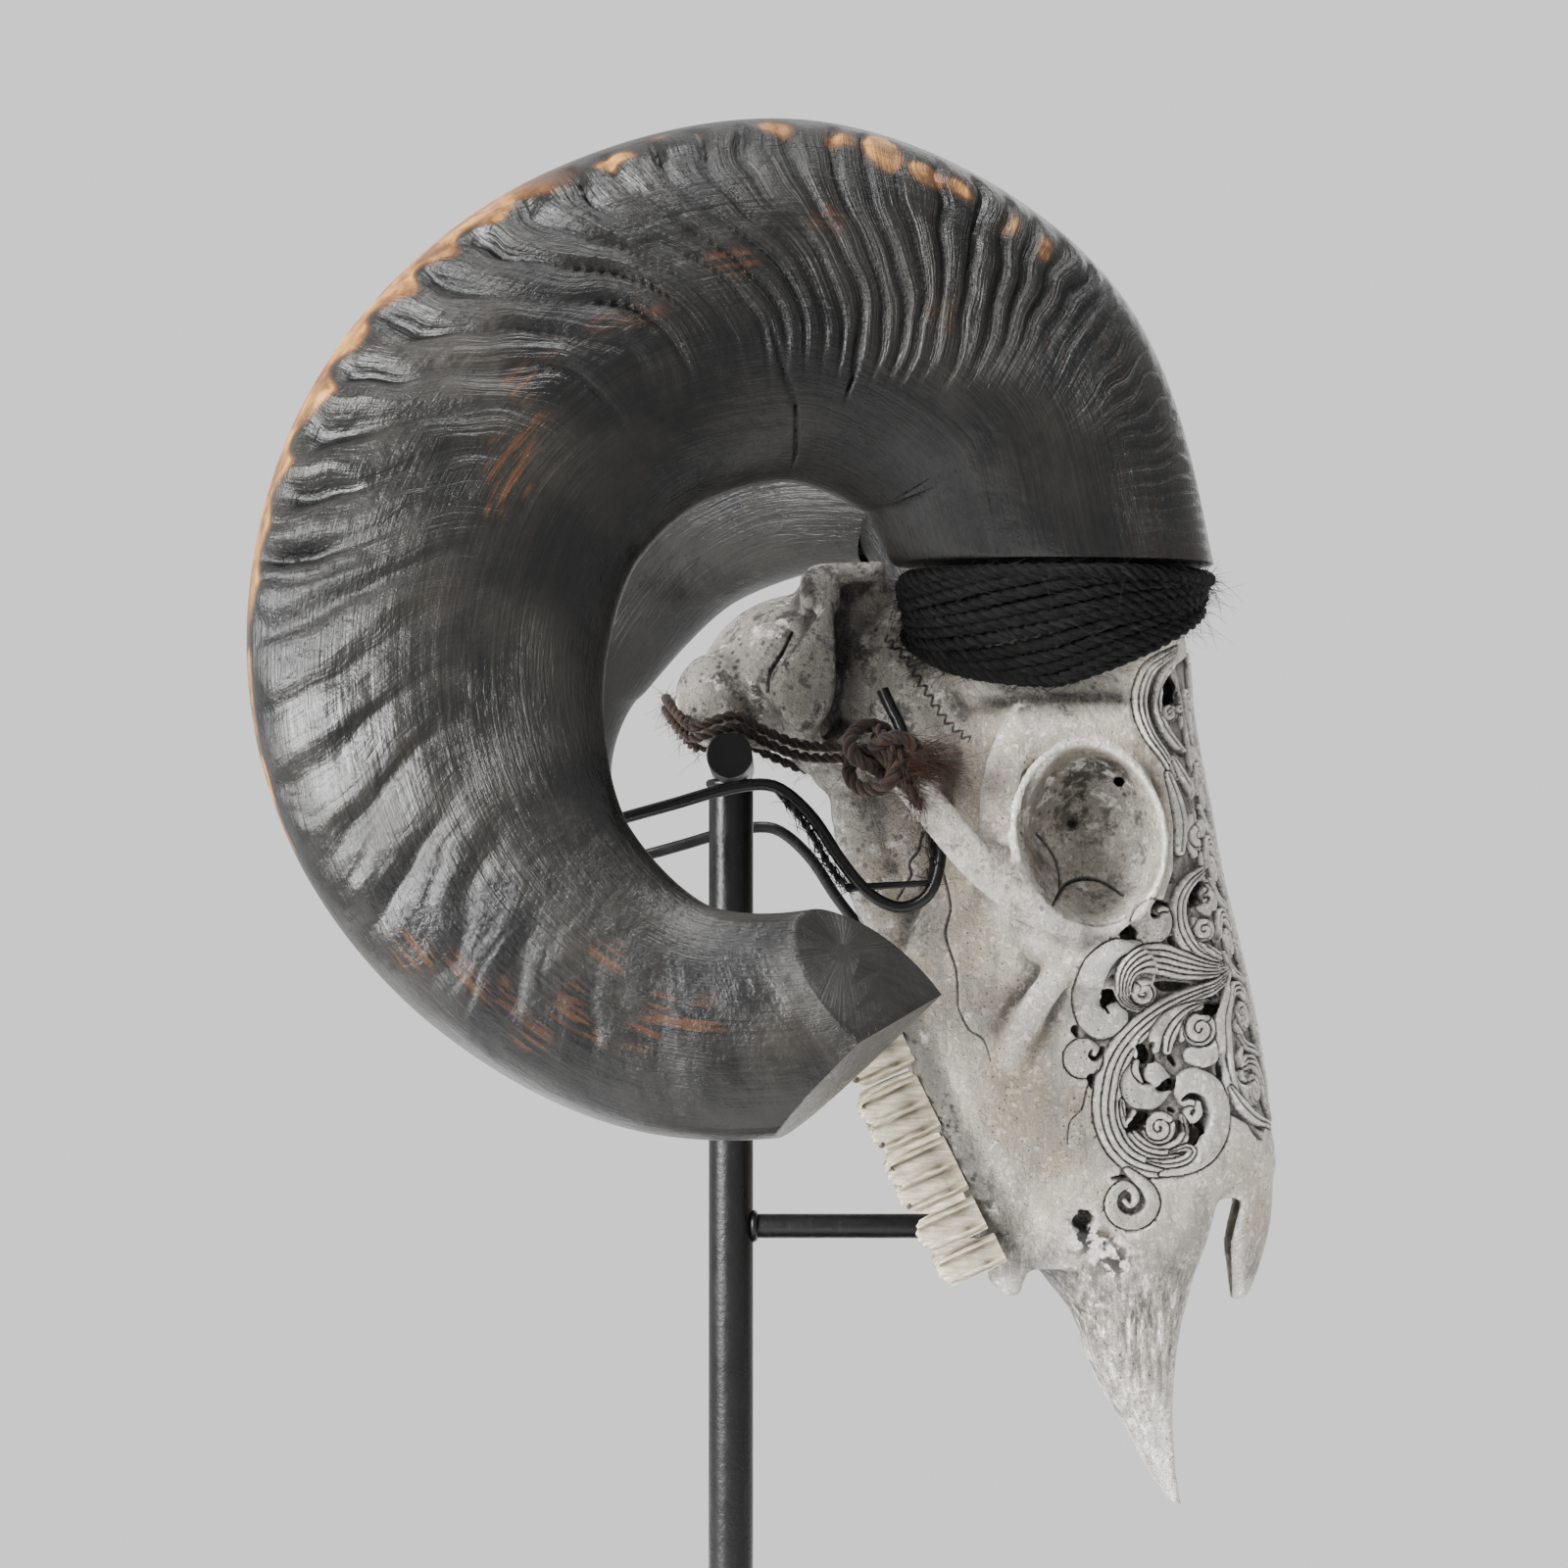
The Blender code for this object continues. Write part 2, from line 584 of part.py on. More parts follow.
def boss_outline(z, grow, count=18):
    """Points round the right horn boss at a height, pushed out by a distance."""
    rows = sorted(BOSS_SECTIONS)
    z = min(max(z, rows[0][0]), rows[-1][0])
    for low, high in zip(rows, rows[1:]):
        if low[0] <= z <= high[0]:
            t = (z - low[0]) / (high[0] - low[0])
            _, x, y, long, wide = (a + (b - a) * t for a, b in zip(low, high))
            turns = [2 * math.pi * k / count for k in range(count)]
            return [
                Vector((x + (long + grow) * math.cos(a), -(y + (wide + grow) * math.sin(a)), 0)) for a in turns
            ]
    raise ValueError("no boss at that height")


def rope_foot(angle):
    """Height of the rope's lowest turn round the boss: low at the side, high between the horns."""
    return 312 - 12.5 * math.sin(angle) + 7.5 * math.cos(angle)


def make_horn_rope(name, side, rope, clearance):
    """The rope's turns round a horn boss, as one closed collar with a groove between turns."""
    mesh = bmesh.new()
    count = 15
    loops = []
    top = horn_stations(side)[0][2] - 2 * GAP
    levels = 2 * ROPE_TURNS + 1
    for k in range(count):
        a = 2 * math.pi * k / count
        foot = rope_foot(a)
        profile = []
        for j in range(levels):
            z = foot + (top - foot) * j / (levels - 1)
            bulge = ROPE_THICKNESS if j % 2 else ROPE_THICKNESS * 0.62
            p = boss_outline(z, bulge, count)[k]
            profile.append((p.x, p.y, z))
        for z in (top, foot):
            p = boss_outline(z, 0.8, count)[k]
            profile.append((p.x, p.y, z))
        loops.append([mesh.verts.new(Vector((x, -y * side, z)) * MM) for x, y, z in profile])
    for k in range(count):
        low, high = loops[k - 1], loops[k]
        for j in range(len(low)):
            mesh.faces.new((low[j - 1], low[j], high[j], high[j - 1]))
    collar = make_object(name, mesh, rope)
    cut(collar, clearance)
    return collar


def make_clearance(bone):
    """The bone a little larger, which keeps a gap between it and what is wound round it."""
    forms = bmesh.new()
    add_skull_forms(forms)
    grown = make_object("cutter_clearance", forms, bone)
    skin(grown, SKULL_VOXEL, 6)
    keep_share(grown, 0.05)
    swell = grown.modifiers.new("swell", "DISPLACE")
    swell.strength = CLEARANCE * MM
    swell.mid_level = 0
    return hide_tool(grown)


def make_cord(coir, clearance):
    """The cord that binds the skull to the stand, with a knot at each arch."""
    mesh = bmesh.new()
    route = [(x, -y, z) for x, y, z in CORD_ROUTE] + [(x, y, z) for x, y, z in CORD_ROUTE[-2::-1]]
    add_bar(mesh, route, CORD_RADIUS, CORD_RADIUS * 1.5, (0, 0, 1), sides=8, count=34)
    for s in SIDES.values():
        (x, y, z), radii = KNOT
        add_blob(mesh, (x, y * s, z), radii, (0, 25, 0))
    cord = make_object("tie_cord", mesh, coir)
    skin(cord, 1.6, 2)
    keep_share(cord, 0.06)
    cut(cord, clearance)
    seat = bmesh.new()
    reach = CROSSBAR_HALF + GAP
    add_rod(seat, (0, -reach, CROSSBAR_Z), (0, reach, CROSSBAR_Z), CROSSBAR_RADIUS + GAP)
    cut(cord, hide_tool(make_object("cutter_crossbar", seat)))
    return cord


def make_rod(name, start, end, radius, steel, sides=20):
    """A straight round bar, as an object."""
    mesh = bmesh.new()
    add_rod(mesh, start, end, radius, sides)
    return make_object(name, mesh, steel, smooth=True)


def wire_route():
    """The cradle wire's whole route, with its left side hanging lower than its right one."""
    right = [(x, -y, z) for x, y, z in WIRE_RIGHT]
    left = [(x, y, z - WIRE_LEFT_DROP) for x, y, z in WIRE_RIGHT[::-1]]
    return right + left


def make_stand(steel):
    """Base plate, post, crossbar under the condyles, arm to the palate, and the cradle wire."""
    mesh = bmesh.new()
    place = Matrix.Translation(Vector((PLATE_CENTRE_X, 0, PLATE[2] / 2)) * MM)
    bmesh.ops.create_cube(mesh, size=1, matrix=place @ Matrix.Diagonal((*(s * MM for s in PLATE), 1)))
    corners = [e for e in mesh.edges if abs(e.verts[0].co.z - e.verts[1].co.z) > 0.001]
    bmesh.ops.bevel(mesh, geom=corners, offset=0.004, segments=3, profile=0.5, affect="EDGES")
    make_object("stand_base", mesh, steel)
    make_rod("stand_post", (0, 0, PLATE[2] + GAP), (0, 0, CROSSBAR_Z - CROSSBAR_RADIUS - GAP), POST_RADIUS, steel)
    make_rod("stand_crossbar", (0, -CROSSBAR_HALF, CROSSBAR_Z), (0, CROSSBAR_HALF, CROSSBAR_Z), CROSSBAR_RADIUS, steel)
    make_rod("stand_arm", (POST_RADIUS + GAP, 0, ARM_Z), (ARM_END_X, 0, ARM_Z), ARM_RADIUS, steel, 14)
    wire = bmesh.new()
    add_bar(wire, wire_route(), WIRE_RADIUS, WIRE_RADIUS, (0, 1, 0.01), sides=6, count=48)
    make_object("cradle_wire", wire, steel, smooth=True)


def main():
    """Builds every piece."""
    clear_scene()
    bone = material("bone", (0.52, 0.49, 0.43), 0.7)
    ivory = material("tooth_enamel", (0.66, 0.62, 0.5), 0.4)
    horn = material("horn", (0.035, 0.033, 0.032), 0.38)
    rope = material("black_rope", (0.018, 0.018, 0.019), 0.9)
    coir = material("coir", (0.09, 0.055, 0.04), 0.9)
    steel = material("black_steel", (0.022, 0.022, 0.024), 0.5, 0.6)
    make_skull(bone)
    clearance = make_clearance(bone)
    for side_name, side in SIDES.items():
        for name, x, z, length, lobes in TEETH:
            tooth = bmesh.new()
            add_tooth(tooth, side, x, z, length, lobes)
            make_object(f"tooth_{side_name}_{name}", tooth, ivory)
        make_horn(f"horn_{side_name}", side, horn)
        make_horn_rope(f"horn_rope_{side_name}", side, rope, clearance)
    make_cord(coir, clearance)
    make_stand(steel)


main()
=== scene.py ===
"""A carved ram skull with sawn black horns, bound to a black steel stand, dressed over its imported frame.

+X is the side that the brow and nose face, +Y the skull's left side, +Z is up. Sizes are in millimetres
unless a name says otherwise, and meshes are in metres.
"""

import logging
import math
from dataclasses import dataclass
from enum import Enum
from typing import Sequence

import bmesh
import bpy
import numpy as np
from mathutils import Euler, Matrix, Vector, noise


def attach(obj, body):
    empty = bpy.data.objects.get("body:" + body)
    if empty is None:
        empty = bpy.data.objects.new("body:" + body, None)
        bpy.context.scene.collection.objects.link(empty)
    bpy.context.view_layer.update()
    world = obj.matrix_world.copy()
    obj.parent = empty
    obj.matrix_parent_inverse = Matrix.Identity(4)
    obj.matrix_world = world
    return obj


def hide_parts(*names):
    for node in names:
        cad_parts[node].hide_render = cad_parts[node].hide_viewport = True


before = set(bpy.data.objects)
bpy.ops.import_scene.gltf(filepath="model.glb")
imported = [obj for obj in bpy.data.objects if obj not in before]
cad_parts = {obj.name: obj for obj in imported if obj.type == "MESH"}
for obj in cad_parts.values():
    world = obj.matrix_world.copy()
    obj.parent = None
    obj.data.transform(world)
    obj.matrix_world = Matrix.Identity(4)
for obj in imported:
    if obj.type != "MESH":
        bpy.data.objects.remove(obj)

log = logging.getLogger("ram_skull")

MM = 0.001
PIERCED_DEPTH = 4
FULL_TURN = 2 * math.pi
Row = Sequence[float]
Place = tuple[float, float, float]
Spot = tuple[float, float]
Colour = tuple[float, float, float]
Mesh = bmesh.types.BMesh
Socket = bpy.types.NodeSocket

# Bone, as in part.py. The face: height, then a half outline from the middle of the palate round to the middle
# of the nose, as x and distance from the midline.
FACE_SECTIONS = (
    (322, (62, 0), (62, 16), (66, 25), (84, 30), (106, 27), (122, 15), (128.5, 0)),
    (310, (60, 0), (60, 18), (64, 30), (84, 36), (106, 34), (123, 20), (129.8, 0)),
    (298, (60, 0), (60, 20), (66, 33), (84, 43), (106, 42), (124, 28), (130.4, 0)),
    (286, (62, 0), (62, 20), (67, 35), (83, 49), (105, 48), (125, 32), (132, 0)),
    (268, (62, 0), (62, 20), (66, 32), (84, 42), (107, 43), (127, 31), (135.5, 0)),
    (250, (58, 0), (58, 20), (61, 32), (79, 42), (105, 43), (129, 30), (138.6, 0)),
    (232, (54, 0), (50, 21), (53, 33), (73, 41), (103, 41), (132, 28), (143, 0)),
    (215, (55, 0), (46, 20), (47, 31), (69, 40), (101, 38), (135, 26), (147, 0)),
    (197, (60, 0), (51, 21), (51, 33), (69, 40), (101, 36), (138, 24), (150.5, 0)),
    (180, (68, 0), (59, 21), (59, 33), (75, 38), (105, 34), (140, 22), (152.8, 0)),
    (163, (75, 0), (65, 20), (65, 31), (81, 34), (109, 31), (139, 21), (153.4, 0)),
    (150, (81, 0), (72, 19), (71, 28.5), (86, 30), (109, 27), (127, 17), (133, 0)),
    (139, (85, 0), (77.5, 17), (76, 25.5), (87, 26), (107, 23.5), (123, 16), (130, 0)),
)
# The jaw's front part: height, back, front edge and half width.
JAW_SECTIONS = (
    (168, 78, 137.5, 29),
    (160, 80, 136.4, 28.5),
    (148, 83.5, 133.3, 28),
    (138, 87, 129.6, 25.5),
    (126, 96, 126.4, 21.5),
    (115, 99.7, 124.6, 19.5),
    (104, 104.6, 123.9, 17.5),
    (93, 111.5, 124, 14.5),
    (82, 117.2, 125, 11),
    (72, 124, 127, 7.5),
)
# The nasal bones' free end: height, front, half width and droop of the sides.
NASAL_SECTIONS = (
    (182, 152.6, 22, 13),
    (163, 153.4, 19.5, 12.5),
    (150, 152.4, 16.5, 10.5),
    (140, 149.8, 12.5, 7.5),
    (133, 147.4, 8.5, 4.5),
    (128.4, 144.5, 3.2, 1.6),
)
# The horn's boss: height, x, distance from the midline and the two half sizes.
BOSS_SECTIONS = (
    (292, 92, 24, 27, 15),
    (304, 90, 30, 33, 21),
    (318, 89, 35.5, 37, 25.5),
    (332.6, 89, 39.5, 39.5, 28.5),
)
ARCH_PATH = (
    (97, 53, 234), (82, 59, 240), (68, 62, 251), (57, 62, 264), (48, 59, 275), (39, 50, 281), (31, 34, 284),
)
# Rounded bones on each side: middle, three half sizes and turn.
SIDE_BALLS = {
    "wall behind the eye": ((98, 35, 256), (24, 17, 29), (0, 9, 0)),
    "cheek": ((99, 42, 226), (20, 11, 9), (0, 20, 0)),
    "condyle": ((-5, 16, 298.5), (10.8, 11, 13), (0, 0, 0)),
    "bulla": ((31, 19, 281), (9, 8, 9), (0, 0, 0)),
}
# Long bones on each side: path, half thickness, half width and the way the wide side stands.
SIDE_BARS = {
    "zygomatic arch": (ARCH_PATH, 3.4, 5.6, (0.6, 0, 0.8)),
    "facial crest": (((96, 50, 229), (84, 43, 212), (76, 39, 196)), 3.2, 4.5, (1, 0, 0.3)),
    "bar behind the orbit": (
        ((84, 44, 293), (77, 47, 282), (74, 50, 270), (73, 54, 256)), 2.4, 6, (1, 0, 0.2),
    ),
    "jugular process": (((18, 29, 292), (22, 27, 284), (27, 24, 281)), 4, 5, (1, 0, 0)),
    "pterygoid wing": (((35, 15, 280), (36.5, 17, 262), (43, 20, 240), (54, 24, 222)), 3.2, 8, (1, 0, 0.2)),
    "inner wing": (((50, 16, 280), (52, 18, 262), (58, 20, 240), (62, 24, 222)), 4, 10, (1, 0, 0.2)),
    "corner of the jaw": (((72, 26, 152), (77, 25, 138), (75, 24.5, 133.5)), 3.6, 5.5, (1, 0, 0.5)),
}
# Pierced holes: x, z, half length, half width and turn. One more of part.py's is a shallow pit here, because
# one could look right through the skull there.
CARVED_PITS = (
    (109.3, 232.2, 5, 2.6, 20), (104.3, 215.4, 6, 2.6, 75), (133.6, 212.4, 5, 2.4, 60),
    (114.1, 199.4, 5, 2.6, -60), (112.7, 180, 6, 2.6, 45), (128.1, 177.4, 5.5, 2.6, -35),
    (120, 190, 5, 2.4, 20), (131.7, 243.5, 5.5, 2.4, 60), (134.7, 229.8, 4.5, 2.4, 20),
    (122.3, 300.8, 6, 2, 85), (137, 196, 6, 2.2, 78),
)

# Small holes inside the orbit: x, z and size.
ORBIT_HOLES = ((108.4, 275, 2.3), (95.2, 263, 1.7), (101.3, 272.6, 1.1), (90.6, 273.6, 1.2), (90, 247, 1.2))

# Horns, from part.py: distance from the hub, half depth, half thickness and distance from the midline.
HORN_STATIONS = (
    (91, 44, 31.5, 42),
    (103, 46.5, 32, 55),
    (104, 49, 31, 74),
    (96.5, 49, 29.5, 92),
    (90, 49, 28, 104),
    (84.5, 48, 27, 113),
    (83.5, 44, 25.5, 122),
    (86.5, 36.5, 23, 132),
    (92, 30.5, 20, 142),
    (92.5, 27.5, 17.5, 152),
    (92, 22, 14, 157),
)
# What the left horn adds to the first two at each station.
LEFT_CHANGES = (
    (0, 0), (-2, 1), (-10, 5), (-10, 6), (-8, 5), (-1, 1), (1, -5), (0, -3), (0, -1), (0, 0), (0, 0),
)
# The two saw cuts: a point of the plane and the way it faces.
HORN_CUTS = (((22, 150, 239), (0.554, 0.643, 0.527)), ((33, 170, 203), (0.668, 0.203, -0.716)))

# Teeth, from part.py: name, middle of the crown (x, z), length along the row, number of lobes.
TEETH = (
    ("m3", 43.5, 202.0, 17.0, 2),
    ("m2", 50.6, 184.0, 17.0, 2),
    ("m1", 58.2, 167.0, 16.4, 2),
    ("p4", 64.8, 153.2, 9.6, 1),
    ("p3", 70.4, 143.6, 8.4, 1),
)

# Cord and cradle wire, from part.py: the right half of each route.
CORD_ROUTE = (
    (39, 62, 281), (31, 54, 282), (20, 45, 283), (10, 40, 287), (2, 38.5, 291.3), (-6, 36.5, 290),
    (-12.5, 31, 288.5), (-17, 23, 291.5), (-21, 12, 296), (-22.5, 0, 298),
)
WIRE_RIGHT = (
    (42.2, 44, 299.4), (44.6, 45.5, 294), (47.3, 47, 288.3), (52.5, 50.5, 272), (57, 51, 260),
    (57.8, 51, 252.5), (55, 51, 243.5), (49, 50, 239.6), (43, 50, 240.3), (37, 50, 244.5),
    (30.5, 50, 252.5), (23, 50, 263.8), (15, 50, 271.3), (8.3, 50, 273.2), (-2.5, 50, 271.5),
    (-14.6, 50, 268), (-25.4, 49.5, 265), (-44, 45, 260), (-57, 35, 257), (-64, 18, 254.5),
)

# Spots on the outer side of the horn: turn round the hub, distance in, and the two half sizes.
WORN_SPOTS = (
    (87.4, 7, 2.2, 3.4), (82.3, 8, 1.9, 3.6), (77.8, 9, 1.5, 4.4), (73, 12, 1.6, 2.8),
    (68.7, 11, 2.0, 3.8), (63.5, 11.5, 1.5, 4.4), (59.2, 12, 1.1, 3.6), (94.5, 6.5, 1.7, 2.2),
    (99, 4, 2.4, 1.6), (104.5, 8, 3.6, 2.2), (184, 1.5, 6, 1.4), (197, 1.2, 8, 1.2),
)
RED_SPOTS = (
    (224, 12, 6, 5), (236, 17, 8, 6), (251, 25, 9, 6), (263, 31, 6, 5), (113, 47, 5, 5), (128, 47, 5, 5),
    (140, 55, 7, 5), (150, 60, 5, 4), (247, 40, 5, 4), (97, 40, 3, 3), (68, 42, 3, 4), (84, 30, 2, 3),
)
# Cracks across the horn: turn, how far it leans, and where it begins and ends, as distances in.
HORN_CRACKS = ((93.8, -6.5, 58, 96), (78, -2, 58, 76))
# Where along the horn the ridges change, and how far apart they are and how strong each kind is there.
RIDGE_TURNS = (22, 46, 58, 80, 110, 124, 165, 200, 250, 318)
RIDGE_SPACING = (4.2, 5.0, 8.5, 10.5, 12.5, 16.5, 21, 24, 25, 16)
LEDGES = (0.1, 0.35, 0.6, 0.9, 1.0, 0.8, 0.7, 0.45, 0.05, 0)
FOLDS = (0.4, 0.4, 0.15, 0.15, 0.3, 0.45, 0.55, 0.4, 0.1, 0.03)
CREASES = (0.25, 0.5, 0.9, 1.2, 1.1, 0.7, 0.5, 0.35, 0.08, 0.03)
SMALL_CREASES = (0, 0, 0.1, 0.15, 0.3, 0.4, 0.3, 0.2, 0.1, 0)


class Side(Enum):
    """Which side of the skull a piece belongs to. The right one is nearer in the photograph."""

    RIGHT = -1
    LEFT = 1

    @property
    def word(self) -> str:
        """The side's name as the frame writes it."""
        return self.name.lower()


class Cut(Enum):
    """What a carver's stroke leaves behind."""

    RAISED = "a domed form with a groove round it"
    GROOVE = "a plain groove"
    HOLE = "a deep dark hole"


def between(rows: Sequence[Row], count: int) -> list[list[float]]:
    """Reads rows of numbers evenly from a smooth curve through the given rows.

    Args:
        rows: the rows that the curve passes through.
        count: how many rows to read.

    Returns:
        The rows read, the first and last being the given ends.
    """
    ends = [rows[0], *rows, rows[-1]]
    made = []
    for step in range(count):
        place = step * (len(rows) - 1) / (count - 1)
        i = min(int(place), len(rows) - 2)
        t = place - i
        made.append([
            0.5 * (2 * b + (c - a) * t + (2 * a - 5 * b + 4 * c - d) * t * t + (3 * b - a - 3 * c + d) * t**3)
            for a, b, c, d in zip(*ends[i : i + 4])
        ])
    return made


def angles(count: int) -> list[float]:
    """Gives even directions round a circle."""
    return [FULL_TURN * k / count for k in range(count)]


def wrap_grid(mesh: Mesh, rings: np.ndarray, closed: bool = True) -> list[bmesh.types.BMVert]:
    """Bends a grid round rings of points, as a tube.

    Args:
        mesh: the mesh that the tube is added to.
        rings: places in metres, as rings by sides by three.
        closed: whether the two ends are filled.

    Returns:
        The tube's vertices, ring by ring.
    """
    count, sides = rings.shape[:2]
    grid = bmesh.ops.create_grid(mesh, x_segments=sides, y_segments=count - 1, size=1)["verts"]
    wide = sides + 1
    seam = {}
    kept = []
    for j in range(count):
        row = grid[j * wide : (j + 1) * wide]
        for vert, place in zip(row, rings[j].tolist()):
            vert.co = place
        row[-1].co = row[0].co
        seam[row[-1]] = row[0]
        kept.extend(row[:-1])
    bmesh.ops.weld_verts(mesh, targetmap=seam)
    if closed:
        for ring in (kept[:sides], kept[-sides:]):
            rim = {e for v in ring for e in v.link_edges if e.is_boundary}
            bmesh.ops.holes_fill(mesh, edges=list(rim), sides=0)
    return kept


def loft(mesh: Mesh, rings: Sequence[Sequence[Row]]) -> None:
    """Closes a skin over rings of points in millimetres."""
    wrap_grid(mesh, np.array(rings, dtype=float) * MM)


def add_ball(mesh: Mesh, centre: Row, radii: Row, turn: Row = (0, 0, 0), fineness: int = 3) -> None:
    """Adds a ball stretched to three half sizes.

    Args:
        mesh: the mesh that the ball is added to.
        centre: its middle.
        radii: its three half sizes.
        turn: its turn about X, Y and Z in degrees.
        fineness: how often the ball is divided.
    """
    tilt = Euler([math.radians(a) for a in turn]).to_matrix().to_4x4()
    place = Matrix.Translation(Vector(centre) * MM) @ tilt
    stretch = Matrix.Diagonal((*(r * MM for r in radii), 1))
    bmesh.ops.create_icosphere(mesh, subdivisions=fineness, radius=1, matrix=place @ stretch)


def add_box(mesh: Mesh, centre: Row, size: Row, turn: float = 0) -> None:
    """Adds a box.

    Args:
        mesh: the mesh that the box is added to.
        centre: its middle.
        size: its three sizes.
        turn: its turn about Y in degrees.
    """
    place = Matrix.Translation(Vector(centre) * MM) @ Matrix.Rotation(math.radians(turn), 4, "Y")
    bmesh.ops.create_cube(mesh, size=1, matrix=place @ Matrix.Diagonal((*(s * MM for s in size), 1)))


def add_rod(
    mesh: Mesh, start: Row, end: Row, radius: float, sides: int = 48, rounding: float = 0.0
) -> None:
    """Adds a straight round bar.

    Args:
        mesh: the mesh that the bar is added to.
        start: the middle of one end.
        end: the middle of the other end.
        radius: the bar's radius.
        sides: how many sides its section has.
        rounding: how far the rims of its ends are eased.
    """
    first, last = Vector(start), Vector(end)
    turn = Vector((0, 0, 1)).rotation_difference(last - first).to_matrix().to_4x4()
    place = Matrix.Translation((first + last) / 2 * MM) @ turn
    made = bmesh.ops.create_cone(
        mesh, cap_ends=True, segments=sides, radius1=radius * MM, radius2=radius * MM,
        depth=(last - first).length * MM, matrix=place,
    )
    if rounding:
        caps = {f for v in made["verts"] for f in v.link_faces if len(f.verts) > 4}
        rims = list({e for f in caps for e in f.edges})
        bmesh.ops.bevel(
            mesh, geom=rims, offset=rounding * MM, segments=3, profile=0.5, affect="EDGES", material=-1
        )


def walk(path: np.ndarray) -> tuple[np.ndarray, np.ndarray, np.ndarray, np.ndarray]:
    """Finds the directions along a path, carried on without twist.

    Args:
        path: the path's points.

    Returns:
        The distance walked, and the directions along, across and out at each point.
    """
    step = np.gradient(path, axis=0)
    along = step / np.linalg.norm(step, axis=1, keepdims=True)
    across = np.zeros_like(path)
    guess = np.array((0.02, 0.1, 1.0))
    for i, direction in enumerate(along):
        guess = guess - direction * guess.dot(direction)
        guess /= np.linalg.norm(guess)
        across[i] = guess
    out = np.cross(along, across)
    parts = np.linalg.norm(np.diff(path, axis=0), axis=1)
    return np.concatenate(((0,), np.cumsum(parts))), along, across, out


def sweep(mesh: Mesh, path: np.ndarray, radius: float, sides: int) -> list[bmesh.types.BMVert]:
    """Adds a closed round tube along a path.

    Args:
        mesh: the mesh that the tube is added to.
        path: the path's points in metres.
        radius: the tube's radius in metres.
        sides: how many sides its section has.

    Returns:
        The tube's vertices, ring by ring.
    """
    _, _, across, out = walk(path)
    turns = np.arange(sides) * FULL_TURN / sides
    rings = across[:, None] * np.cos(turns)[None, :, None] + out[:, None] * np.sin(turns)[None, :, None]
    return wrap_grid(mesh, path[:, None] + rings * radius)


def smooth_path(points: Sequence[Row], spacing: float) -> np.ndarray:
    """Reads a smooth curve through points at an even spacing.

    Args:
        points: places in millimetres.
        spacing: distance between the points read, in millimetres.

    Returns:
        The curve's points in metres.
    """
    fine = np.array(between(points, 12 * len(points)))
    parts = np.linalg.norm(np.diff(fine, axis=0), axis=1)
    walked = np.concatenate(((0,), np.cumsum(parts)))
    count = max(3, int(walked[-1] / spacing))
    even = np.linspace(0, walked[-1], count)
    return np.stack([np.interp(even, walked, fine[:, k]) for k in range(3)], axis=1) * MM


def soft_step(value: np.ndarray, low: float, high: float) -> np.ndarray:
    """Rises smoothly from 0 at low to 1 at high."""
    t = np.clip((value - low) / (high - low), 0, 1)
    return t * t * (3 - 2 * t)


def read_points(data: bpy.types.Mesh) -> np.ndarray:
    """Gives a mesh's vertex places as an array.

    Args:
        data: the mesh.

    Returns:
        One row for each vertex, in metres.
    """
    flat = np.empty(len(data.vertices) * 3, dtype=np.float32)
    data.vertices.foreach_get("co", flat)
    return flat.reshape(-1, 3).astype(float)


def read_normals(data: bpy.types.Mesh) -> np.ndarray:
    """Gives a mesh's vertex normals as an array.

    Args:
        data: the mesh.

    Returns:
        One row for each vertex.
    """
    flat = np.empty(len(data.vertices) * 3, dtype=np.float32)
    data.vertex_normals.foreach_get("vector", flat)
    return flat.reshape(-1, 3).astype(float)


def put_points(data: bpy.types.Mesh, places: np.ndarray) -> None:
    """Moves a mesh's vertices."""
    data.vertices.foreach_set("co", places.astype(np.float32).ravel())
    data.update()


def neighbours_mean(data: bpy.types.Mesh, values: np.ndarray, rounds: int) -> np.ndarray:
    """Evens out values over a mesh.

    Args:
        data: the mesh.
        values: one row for each vertex.
        rounds: how often each row takes the mean of its neighbours.

    Returns:
        The evened rows.
    """
    pairs = np.empty(len(data.edges) * 2, dtype=np.int32)
    data.edges.foreach_get("vertices", pairs)
    first, second = pairs.reshape(-1, 2).T
    count = np.bincount(pairs, minlength=len(values)).clip(1)[:, None]
    made = values.reshape(len(values), -1)
    for _ in range(rounds):
        total = np.zeros_like(made)
        for k in range(made.shape[1]):
            total[:, k] = np.bincount(first, made[second, k], len(made))
            total[:, k] += np.bincount(second, made[first, k], len(made))
        made = 0.5 * made + 0.5 * total / count
    return made.reshape(values.shape)


def paint(data: bpy.types.Mesh, name: str, values: np.ndarray) -> None:
    """Stores one number for each vertex under a name."""
    data.attributes.new(name, "FLOAT", "POINT").data.foreach_set("value", values.astype(np.float32))


def store(verts: Sequence[bmesh.types.BMVert], layer: object, values: np.ndarray) -> None:
    """Stores a number or a vector for each vertex in a layer of an unfinished mesh."""
    for vert, value in zip(verts, values.tolist()):
        vert[layer] = value


def worked(obj: bpy.types.Object) -> bpy.types.Mesh:
    """Applies an object's modifiers and returns its finished mesh.

    Args:
        obj: the object, which keeps the finished mesh.

    Returns:
        The finished mesh.
    """
    graph = bpy.context.evaluated_depsgraph_get()
    data = bpy.data.meshes.new_from_object(obj.evaluated_get(graph))
    obj.modifiers.clear()
    obj.data = data
    return data


